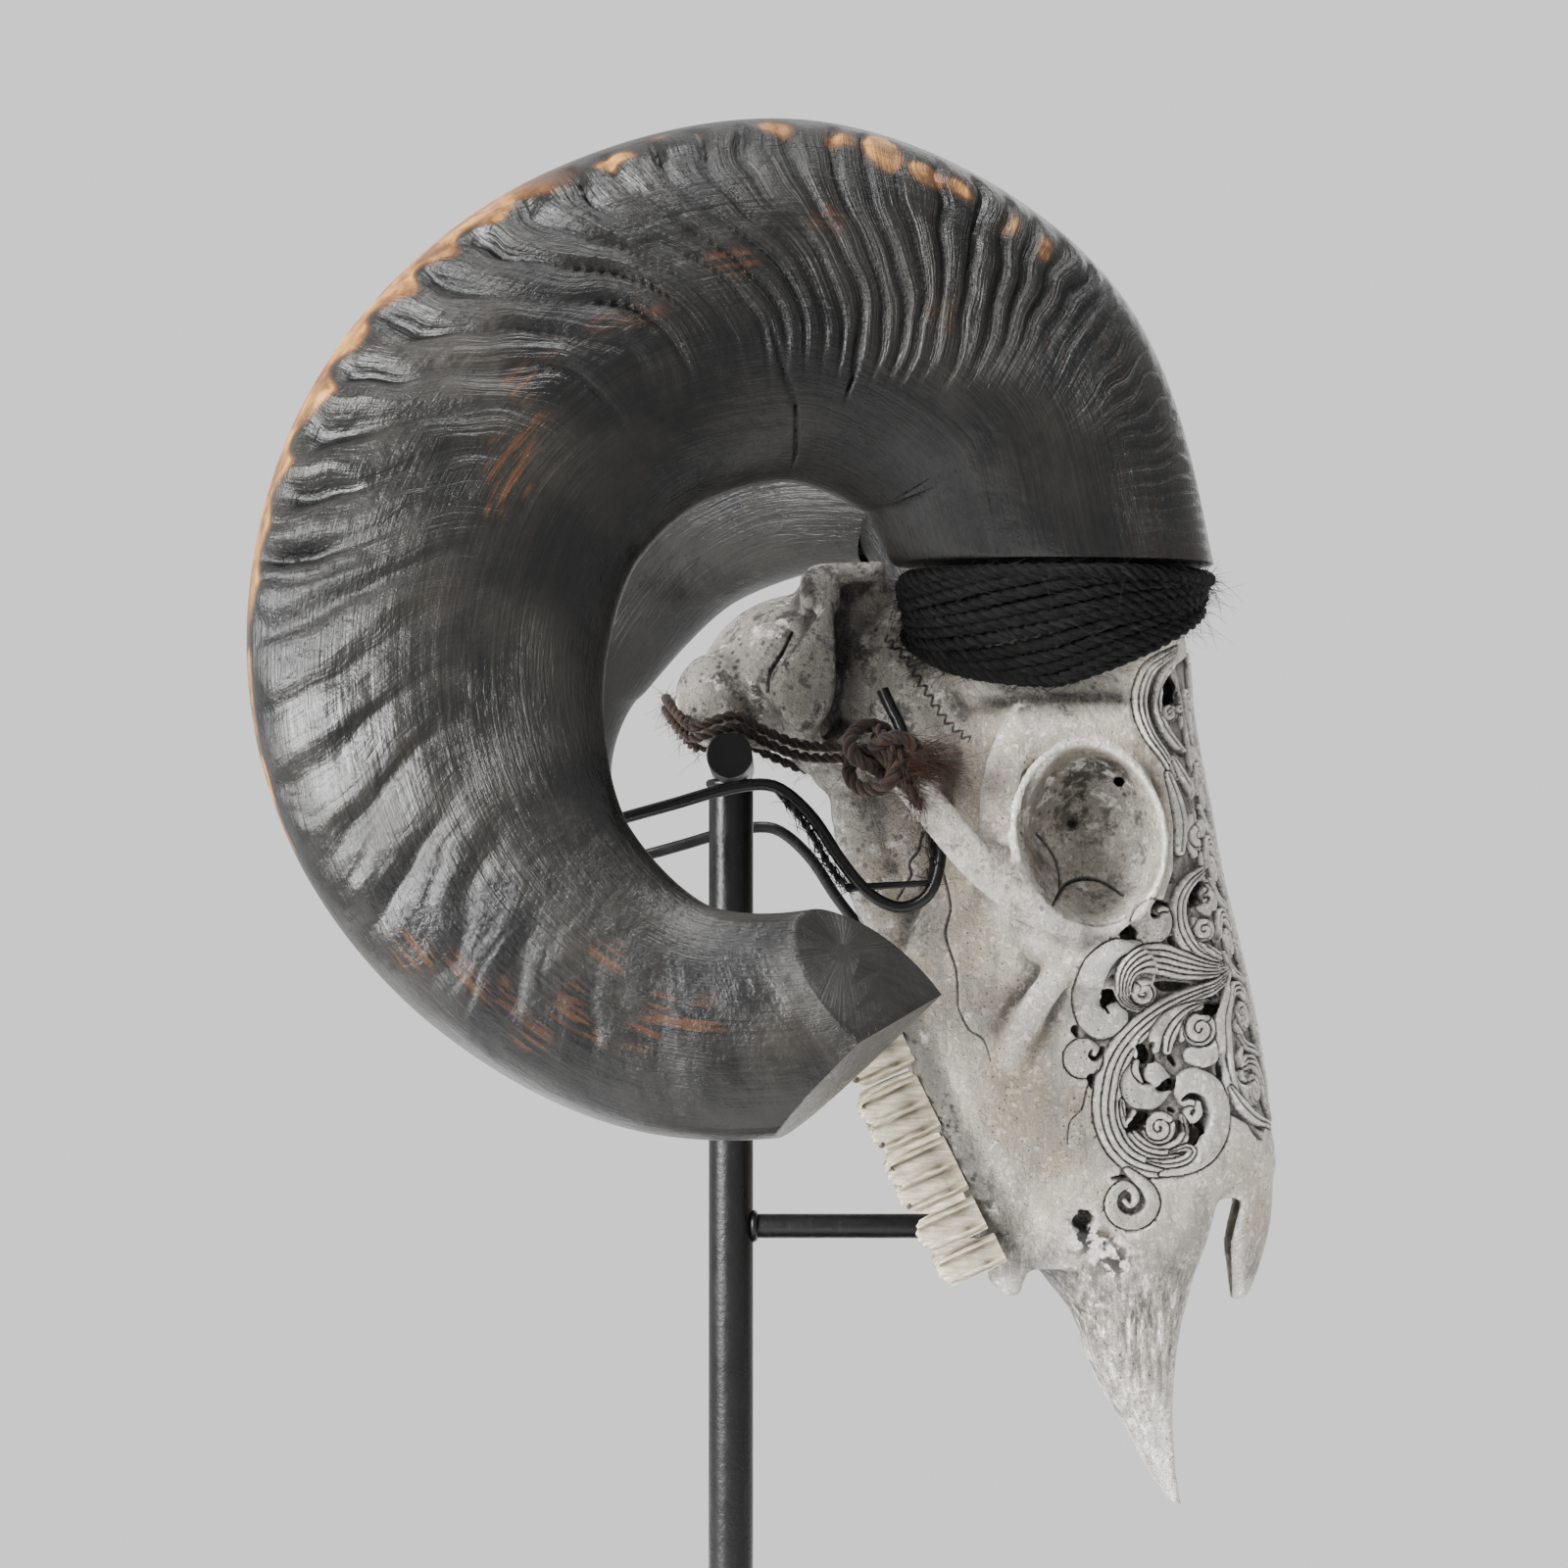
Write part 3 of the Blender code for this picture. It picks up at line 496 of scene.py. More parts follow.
def make_object(name: str, mesh: Mesh) -> bpy.types.Object:
    """Turns a bmesh into a named object of the scene.

    Args:
        name: the object's name.
        mesh: its mesh, which is turned outwards and used up.

    Returns:
        The new object.
    """
    bmesh.ops.recalc_face_normals(mesh, faces=mesh.faces)
    data = bpy.data.meshes.new(name)
    mesh.to_mesh(data)
    mesh.free()
    obj = bpy.data.objects.new(name, data)
    bpy.context.scene.collection.objects.link(obj)
    return obj


def hand_over(
    obj: bpy.types.Object, node: str, slot: str, *finishes: bpy.types.Material, crease: float = 40
) -> None:
    """Dresses a finished piece and puts it in the place of a node of the frame.

    Args:
        obj: the finished piece.
        node: the node that it stands for.
        slot: the name of a material slot; not used.
        finishes: the piece's materials in order.
        crease: edges sharper than this many degrees stay sharp.
    """
    obj.data.materials.clear()
    for finish in finishes:
        obj.data.materials.append(finish)
    obj.data.shade_smooth()
    obj.data.set_sharp_from_angle(angle=math.radians(crease))
    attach(obj, "root")
    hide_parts(node)
    triangles = sum(len(p.vertices) - 2 for p in obj.data.polygons)
    log.info("%s: %d triangles", obj.name, triangles)


class Recipe:
    """A material's node tree, and short ways to add to it."""

    def __init__(self, name: str) -> None:
        """Starts a material of this name.

        Args:
            name: the material's name.
        """
        self.material = bpy.data.materials.new(name)
        self.material.use_nodes = True
        self.tree = self.material.node_tree
        self.surface = self.tree.nodes["Principled BSDF"]
        self.space = self.add("ShaderNodeTexCoord").outputs["Object"]

    def add(self, kind: str, **settings: object) -> bpy.types.Node:
        """Adds a node and sets its properties.

        Args:
            kind: the node's type.
            settings: its properties by name.

        Returns:
            The node.
        """
        node = self.tree.nodes.new(kind)
        for key, value in settings.items():
            setattr(node, key, value)
        return node

    def link(self, source: Socket, target: Socket) -> None:
        """Joins two sockets."""
        self.tree.links.new(source, target)

    def stretched(self, scale: Row, turn: Row = (0, 0, 0), space: Socket | None = None) -> Socket:
        """Turns and scales the space that a pattern is read in.

        Args:
            scale: how much each direction is packed together.
            turn: the turn in degrees.
            space: the space to start from, the object's own when left out.

        Returns:
            The new space's socket.
        """
        node = self.add("ShaderNodeMapping")
        node.inputs["Scale"].default_value = scale
        node.inputs["Rotation"].default_value = [math.radians(a) for a in turn]
        self.link(space or self.space, node.inputs["Vector"])
        return node.outputs["Vector"]

    def noise(
        self, scale: float, detail: float = 4, rough: float = 0.55, space: Socket | None = None
    ) -> Socket:
        """Adds cloudy noise.

        Args:
            scale: how many features fit in a metre.
            detail: how many finer layers it has.
            rough: how strong the finer layers are.
            space: the space that it is read in.

        Returns:
            The noise's value socket.
        """
        node = self.add("ShaderNodeTexNoise")
        node.inputs["Scale"].default_value = scale
        node.inputs["Detail"].default_value = detail
        node.inputs["Roughness"].default_value = rough
        self.link(space or self.space, node.inputs["Vector"])
        return node.outputs[0]

    def drawn_out(self, space: Socket, along: float, across: float, detail: float, rough: float) -> Socket:
        """Adds noise that is drawn out along a stored grain.

        Args:
            space: the stored grain.
            along: how many features fit in a metre along it.
            across: how many fit in a metre across it.
            detail: how many finer layers it has.
            rough: how strong the finer layers are.

        Returns:
            The noise's value socket.
        """
        return self.noise(1, detail, rough, self.stretched((along, across, across), space=space))

    def cells(self, scale: float) -> Socket:
        """Adds scattered points and returns the distance to the nearest one.

        Args:
            scale: how many cells fit in a metre.

        Returns:
            The distance socket.
        """
        node = self.add("ShaderNodeTexVoronoi")
        node.inputs["Scale"].default_value = scale
        self.link(self.space, node.inputs["Vector"])
        return node.outputs["Distance"]

    def painted(self, name: str) -> Socket:
        """Reads a value stored on the mesh."""
        return self.add("ShaderNodeAttribute", attribute_name=name).outputs["Fac"]

    def painted_space(self, name: str) -> Socket:
        """Reads a place stored on the mesh."""
        return self.add("ShaderNodeAttribute", attribute_name=name).outputs["Vector"]

    def levels(self, value: Socket, low: float, high: float, first: float = 0, last: float = 1) -> Socket:
        """Spreads the part of a value between low and high over first to last.

        Args:
            value: the value's socket.
            low: where it gives first.
            high: where it gives last.
            first: what low gives.
            last: what high gives.

        Returns:
            The new value's socket.
        """
        node = self.add("ShaderNodeMapRange")
        for key, number in (("From Min", low), ("From Max", high), ("To Min", first), ("To Max", last)):
            node.inputs[key].default_value = number
        self.link(value, node.inputs["Value"])
        return node.outputs[0]

    def sum(self, kind: str, first: Socket, second: Socket | float) -> Socket:
        """Works out one sum of two values.

        Args:
            kind: the sum's name, such as MULTIPLY.
            first: the first value's socket.
            second: the second value or its socket.

        Returns:
            The result's socket.
        """
        node = self.add("ShaderNodeMath", operation=kind, use_clamp=kind != "SUBTRACT")
        self.link(first, node.inputs[0])
        if isinstance(second, (int, float)):
            node.inputs[1].default_value = second
        else:
            self.link(second, node.inputs[1])
        return node.outputs[0]

    def times(self, first: Socket, second: Socket | float) -> Socket:
        """Multiplies two values."""
        return self.sum("MULTIPLY", first, second)

    def mixed(self, share: Socket, first: object, second: object) -> Socket:
        """Mixes two colours.

        Args:
            share: how much of the second colour shows.
            first: the first colour or its socket.
            second: the second colour or its socket.

        Returns:
            The mixed colour's socket.
        """
        node = self.add("ShaderNodeMix", data_type="RGBA")
        self.link(share, node.inputs[0])
        for place, given in ((6, first), (7, second)):
            if isinstance(given, tuple):
                node.inputs[place].default_value = (*given, 1)
            else:
                self.link(given, node.inputs[place])
        return node.outputs[2]

    def over(self, colour: object, share: Socket, amount: float, top: Colour) -> Socket:
        """Lays a colour over another one where a pattern is strong.

        Args:
            colour: the colour below or its socket.
            share: the pattern's socket.
            amount: how much of the top colour shows where the pattern is full.
            top: the colour on top.

        Returns:
            The mixed colour's socket.
        """
        return self.mixed(self.times(share, amount), colour, top)

    def bump(self, height: Socket, depth: float, below: Socket | None = None) -> Socket:
        """Adds a raised pattern.

        Args:
            height: the pattern's socket.
            depth: how deep it is, in metres.
            below: the pattern that it lies on.

        Returns:
            The normal's socket.
        """
        node = self.add("ShaderNodeBump")
        node.inputs["Strength"].default_value = 1
        node.inputs["Distance"].default_value = depth
        self.link(height, node.inputs["Height"])
        if below:
            self.link(below, node.inputs["Normal"])
        return node.outputs["Normal"]

    def finish(
        self, colour: object, roughness: object, normal: Socket | None = None, **numbers: float
    ) -> bpy.types.Material:
        """Joins the patterns to the surface.

        Args:
            colour: the colour or its socket.
            roughness: the roughness or its socket.
            normal: the bump's socket.
            numbers: further settings of the surface, by name with _ for a space.

        Returns:
            The finished material.
        """
        for key, given in (("Base Color", colour), ("Roughness", roughness)):
            if isinstance(given, tuple):
                self.surface.inputs[key].default_value = (*given, 1)
            elif isinstance(given, (int, float)):
                self.surface.inputs[key].default_value = given
            else:
                self.link(given, self.surface.inputs[key])
        if normal:
            self.link(normal, self.surface.inputs["Normal"])
        for key, number in numbers.items():
            self.surface.inputs[key.replace("_", " ")].default_value = number
        return self.material


@dataclass(frozen=True)
class WeatheredBone:
    """Old bone: grey-beige and porous, with real grime and painted shade darkening its hollows, and rubbed
    pale on its edges with a painted highlight there.
    """

    pale: Colour = (0.64, 0.59, 0.505)
    grey: Colour = (0.215, 0.20, 0.175)
    warm: Colour = (0.36, 0.28, 0.19)
    carved: Colour = (0.53, 0.515, 0.48)
    patina: Colour = (0.018, 0.0165, 0.0145)
    rubbed_and_highlight: Colour = (0.78, 0.75, 0.69)
    brown: Colour = (0.12, 0.085, 0.058)

    def build(self) -> bpy.types.Material:
        """Makes the material, which reads the painted shade and grime in the hollows and the rubbing and
        painted highlight on the edges stored on the bone.

        Returns:
            The material.
        """
        made = Recipe("weathered_bone")
        broad = made.levels(made.noise(34, 5, 0.62), 0.40, 0.58)
        blotches = made.levels(made.noise(38, 6, 0.62, made.stretched((2.4, 2.4, 1), (0, 14, 0))), 0.50, 0.62)
        fine = made.levels(made.noise(420, 6, 0.68), 0.42, 0.60)
        grain = made.noise(70, 6, 0.65, made.stretched((9, 9, 1), (0, 14, 0)))
        colour = made.mixed(broad, self.grey, self.pale)
        colour = made.over(colour, made.levels(made.noise(24, 3), 0.44, 0.60), 0.8, self.warm)
        colour = made.over(colour, made.levels(grain, 0.50, 0.64), 0.45, self.grey)
        carved = made.painted("carved")
        colour = made.over(colour, carved, 0.75, self.carved)
        colour = made.over(colour, blotches, 0.7, self.grey)
        colour = made.over(colour, fine, 0.14, self.rubbed_and_highlight)
        stains = made.levels(made.noise(60, 7, 0.72), 0.60, 0.74)
        colour = made.over(colour, stains, 0.6, self.patina)
        pores = made.levels(made.cells(560), 0.20, 0.06)
        pore_zone = made.levels(made.noise(48, 2), 0.46, 0.58)
        rough_zone = made.painted("rough")
        pits = made.times(pores, made.sum("MAXIMUM", pore_zone, rough_zone))
        long_lines = made.noise(60, 6, 0.7, made.stretched((8, 8, 0.8), (0, -13, 0)))
        streaked = made.painted("streaked")
        colour = made.over(colour, streaked, 0.7, self.grey)
        pale_lines = made.times(streaked, made.levels(long_lines, 0.54, 0.64))
        colour = made.mixed(pale_lines, colour, self.rubbed_and_highlight)
        dark_lines = made.times(streaked, made.levels(long_lines, 0.50, 0.42, 0, 0.85))
        colour = made.mixed(dark_lines, colour, self.patina)
        colour = made.over(colour, made.painted("inner"), 0.85, self.brown)
        shade_and_grime = made.painted("shade_and_grime")
        edge = made.painted("edge")
        # Raised edges are lightened: partly real rubbing, partly a painted highlight.
        colour = made.mixed(made.times(edge, made.levels(fine, 0, 1, 0.6, 1.0)), colour, self.rubbed_and_highlight)
        colour = made.over(colour, pits, 0.85, self.patina)
        coarse_stain = made.levels(made.noise(85, 8, 0.78), 0.49, 0.57)
        craters = made.levels(made.cells(300), 0.30, 0.16)
        craters = made.times(craters, made.levels(made.noise(60, 3), 0.47, 0.53))
        coarse_stain = made.sum("MAXIMUM", coarse_stain, craters)
        stained = made.times(rough_zone, made.times(coarse_stain, 0.85))
        colour = made.over(colour, rough_zone, 0.7, self.grey)
        colour = made.mixed(stained, colour, self.patina)
        flecks = made.times(rough_zone, made.levels(made.noise(150, 7, 0.75), 0.56, 0.63, 0, 0.8))
        colour = made.mixed(flecks, colour, self.rubbed_and_highlight)
        chips = made.levels(made.noise(330, 3, 0.5), 0.44, 0.54)
        broken = made.painted("broken")
        colour = made.mixed(broken, colour, made.mixed(chips, self.patina, self.rubbed_and_highlight))
        # Painted shade: the stored hollows, grooves and holes darken towards the patina colour, along with
        # real grime at the gums and soot on the brow.
        speckle = made.levels(made.noise(1300, 3), 0.3, 0.7, 0.8, 1.1)
        colour = made.mixed(made.times(shade_and_grime, speckle), colour, self.patina)
        normal = made.bump(made.noise(75, 7, 0.60), 0.0022)
        normal = made.bump(grain, 0.0009, normal)
        normal = made.bump(made.times(rough_zone, made.noise(170, 7, 0.72)), 0.0075, normal)
        normal = made.bump(made.sum("SUBTRACT", made.times(fine, 0.2), stained), 0.0008, normal)
        normal = made.bump(made.sum("SUBTRACT", made.times(fine, 0.4), pits), 0.0005, normal)
        rough = made.levels(fine, 0, 1, 0.46, 0.72)
        return made.finish(colour, rough, normal, Specular_IOR_Level=0.4)


@dataclass(frozen=True)
class ToothIvory:
    """Enamel: ivory with brown stains and painted shade in its flutes and between teeth, and fine upright
    lines.
    """

    ivory: Colour = (0.29, 0.25, 0.17)
    stain: Colour = (0.05, 0.038, 0.024)
    chalk: Colour = (0.50, 0.46, 0.36)

    def build(self) -> bpy.types.Material:
        """Makes the material, which reads the painted shade and stain stored on each tooth.

        Returns:
            The material.
        """
        made = Recipe("tooth_ivory")
        lines = made.noise(120, 5, 0.6, made.stretched((1, 9, 9), (0, -24, 0)))
        cloud = made.levels(made.noise(190, 5, 0.65), 0.48, 0.66)
        colour = made.mixed(made.levels(lines, 0.4, 0.65), self.ivory, self.chalk)
        colour = made.over(colour, cloud, 0.4, self.stain)
        colour = made.mixed(made.painted("shade_and_grime"), colour, self.stain)
        normal = made.bump(lines, 0.0004)
        return made.finish(colour, made.levels(lines, 0.3, 0.7, 0.28, 0.5), normal, Coat_Weight=0.15)


@dataclass(frozen=True)
class BlackenedHorn:
    """Horn rubbed black, with silky lines along its growth, brown warmth and tan worn edges."""

    black: Colour = (0.003, 0.003, 0.003)
    olive: Colour = (0.010, 0.009, 0.007)
    tan: Colour = (0.085, 0.031, 0.007)
    honey: Colour = (0.25, 0.118, 0.027)
    russet: Colour = (0.045, 0.017, 0.006)

    def build(self) -> bpy.types.Material:
        """Makes the material, which follows the grain stored on the horn.

        Returns:
            The material.
        """
        made = Recipe("blackened_horn")
        grain = made.painted_space("grain")
        lines = made.drawn_out(grain, 22, 1100, 5, 0.65)
        broad_lines = made.drawn_out(grain, 16, 300, 4, 0.55)
        cloud = made.noise(28, 4, 0.6)
        streak = made.levels(made.drawn_out(grain, 60, 200, 4, 0.6), 0.42, 0.60)
        colour = made.mixed(made.levels(cloud, 0.42, 0.66), self.black, self.olive)
        colour = made.over(colour, made.levels(broad_lines, 0.5, 0.75), 0.35, self.olive)
        thin_streak = made.levels(made.drawn_out(grain, 26, 640, 3, 0.55), 0.50, 0.58)
        red = made.times(made.painted("reddened"), thin_streak)
        colour = made.over(colour, red, 0.55, self.russet)
        # Painted shade in the horn's dimples, cracks and creases.
        colour = made.mixed(made.painted("shade_and_grime"), colour, self.black)
        worn = made.painted("worn")
        rub = made.times(worn, made.levels(streak, 0, 1, 0.55, 1.1))
        core = made.times(made.levels(worn, 0.55, 1), made.levels(made.noise(120, 4, 0.6), 0.40, 0.60))
        tan = made.mixed(core, self.tan, self.honey)
        colour = made.mixed(rub, colour, tan)
        growth = made.painted_space("growth")
        growth_lines = made.drawn_out(growth, 4.5, 0.2, 4, 0.62)
        silk = made.times(lines, made.levels(made.noise(22, 2), 0.42, 0.60, 0.15, 1))
        normal = made.bump(made.times(growth_lines, made.painted("ridged")), 0.0017)
        normal = made.bump(broad_lines, 0.0004, normal)
        normal = made.bump(silk, 0.0005, normal)
        normal = made.bump(made.noise(110, 6, 0.62), 0.0007, normal)
        mottle = made.sum("ADD", made.times(lines, 0.5), made.times(cloud, 0.5))
        rough = made.levels(mottle, 0.38, 0.62, 0.22, 0.42)
        return made.finish(colour, rough, normal, Specular_IOR_Level=0.23)


@dataclass(frozen=True)
class SawnHorn:
    """The fibrous end of a sawn horn."""

    name: str
    ground: Colour
    fibre: Colour
    relief: float = 0.0024
    gloss: float = 0.15

    def build(self) -> bpy.types.Material:
        """Makes the material, with pits and dark fibres.

        Returns:
            The material.
        """
        made = Recipe(self.name)
        fibres = made.noise(90, 6, 0.7, made.stretched((1, 7, 5), (20, 35, 0)))
        pits = made.levels(made.cells(520), 0.3, 0.1)
        colour = made.mixed(made.levels(fibres, 0.38, 0.62), self.fibre, self.ground)
        colour = made.over(colour, pits, 0.8, self.fibre)
        normal = made.bump(fibres, self.relief)
        normal = made.bump(made.sum("SUBTRACT", fibres, pits), self.relief * 0.4, normal)
        return made.finish(colour, 0.62, normal, Specular_IOR_Level=self.gloss)


@dataclass(frozen=True)
class CordFibre:
    """Twisted fibre cord."""

    name: str
    dark: Colour
    light: Colour
    sheen: float = 0.3

    def build(self) -> bpy.types.Material:
        """Makes the material, with a fine fibre pattern and light stray fibres.

        Returns:
            The material.
        """
        made = Recipe(self.name)
        grain = made.painted_space("grain")
        fibres = made.drawn_out(grain, 240, 2600, 4, 0.7)
        cloud = made.levels(made.noise(110, 3), 0.42, 0.62)
        colour = made.mixed(made.levels(fibres, 0.42, 0.66), self.dark, self.light)
        colour = made.over(colour, cloud, 0.5, self.dark)
        # Painted shade between the strands.
        colour = made.mixed(made.levels(made.painted("shade_and_grime"), 0.25, 0.7, 0, 0.95), colour, self.dark)
        normal = made.bump(fibres, 0.0009)
        return made.finish(
            colour, 0.6, normal, Sheen_Weight=self.sheen, Sheen_Roughness=0.4, Specular_IOR_Level=0.12
        )


@dataclass(frozen=True)
class PaintedSteel:
    """Steel under thin black paint."""

    black: Colour = (0.004, 0.004, 0.0042)
    scuffed: Colour = (0.018, 0.018, 0.019)

    def build(self) -> bpy.types.Material:
        """Makes the material, with brush marks and faint scuffs.

        Returns:
            The material.
        """
        made = Recipe("painted_steel")
        cloud = made.noise(120, 5, 0.6)
        scuffs = made.levels(made.noise(500, 3, 0.6, made.stretched((1, 1, 0.12))), 0.62, 0.75)
        colour = made.mixed(made.times(scuffs, 0.5), self.black, self.scuffed)
        normal = made.bump(made.noise(700, 3), 0.00012)
        return made.finish(colour, made.levels(cloud, 0.35, 0.7, 0.26, 0.4), normal, Specular_IOR_Level=0.18)


@dataclass(frozen=True)
class Stroke:
    """One stroke of the carver on a flat drawing, at its place in millimetres.

    Its path is drawn through the points, and its half width runs evenly through the widths.
    """

    points: tuple[Spot, ...]
    widths: tuple[float, ...]
    kind: Cut = Cut.RAISED
    ribs: int = 0
    depth: float = 1.0

    def path(self) -> tuple[np.ndarray, np.ndarray]:
        """The stroke's path and its half width at each point."""
        fine = np.array(between(self.points, max(5, 6 * len(self.points))))
        return fine, np.interp(np.linspace(0, 1, len(fine)), np.linspace(0, 1, len(self.widths)), self.widths)


def curl(centre: Spot, radius: float, turns: float, start: float, tightness: float) -> tuple[Spot, ...]:
    """Points of a spiral that winds inwards.

    Args:
        centre: the spiral's middle.
        radius: its outer radius.
        turns: how often it winds, less than 0 the other way round.
        start: the direction of its outer end in degrees.
        tightness: the share of the radius that it ends at.

    Returns:
        The spiral's points from outside to inside.
    """
    count = max(6, int(abs(turns) * 10))
    made = []
    for k in range(count + 1):
        share = k / count
        angle = math.radians(start) + FULL_TURN * turns * share
        reach = radius * (1 - (1 - tightness) * share)
        made.append((centre[0] + reach * math.cos(angle), centre[1] + reach * math.sin(angle)))
    return tuple(made)


def pierced(points: tuple[Spot, ...], widths: tuple[float, ...]) -> Stroke:
    """A deep dark hole along a path."""
    return Stroke(points, widths, Cut.HOLE, depth=PIERCED_DEPTH)


def groove(points: tuple[Spot, ...], widths: tuple[float, ...], depth: float) -> Stroke:
    """A plain groove along a path."""
    return Stroke(points, widths, Cut.GROOVE, depth=depth)


def disc(centre: Spot, radius: float) -> Stroke:
    """A raised round form."""
    return Stroke((centre, (centre[0] + 0.01, centre[1])), (radius,))


def scroll(centre: Spot, radius: float, turns: float, start: float) -> list[Stroke]:
    """A round end wound from one tapered raised band.

    Args:
        centre: its middle.
        radius: its radius.
        turns: how far the spiral winds.
        start: where the spiral opens, in degrees.

    Returns:
        The strokes, the ground below the spiral first.
    """
    wide = 0.25 * radius / turns**0.5
    widths = (wide, 1.15 * wide, wide, 0.6 * wide)
    band = Stroke(curl(centre, radius - 1.05 * wide, turns, start, 0.14), widths, depth=1.3)
    return [disc(centre, radius), band]


def bulb(centre: Spot, radius: float, hook: float) -> list[Stroke]:
    """A raised round form with a hooked slit in it.

    Args:
        centre: its middle.
        radius: its radius.
        hook: the direction that the slit comes from, in degrees.

    Returns:
        The strokes, the disc first.
    """
    slit = groove(curl(centre, radius, 0.42, hook, 0.12), (0.8, 0.5, 0.3, 0.15), 1.5)
    return [disc(centre, radius), slit]


def hole(x: float, z: float, half_long: float, half_wide: float, turn: float) -> Stroke:
    """A long rounded hole.

    Args:
        x: its middle's x.
        z: its middle's z.
        half_long: half its length.
        half_wide: half its width.
        turn: the direction of its length in degrees.

    Returns:
        The stroke.
    """
    reach = max(half_long - half_wide, 0.01)
    dx, dz = reach * math.cos(math.radians(turn)), reach * math.sin(math.radians(turn))
    return pierced(((x - dx, z - dz), (x + dx, z + dz)), (half_wide * 0.6, half_wide, half_wide * 0.6))


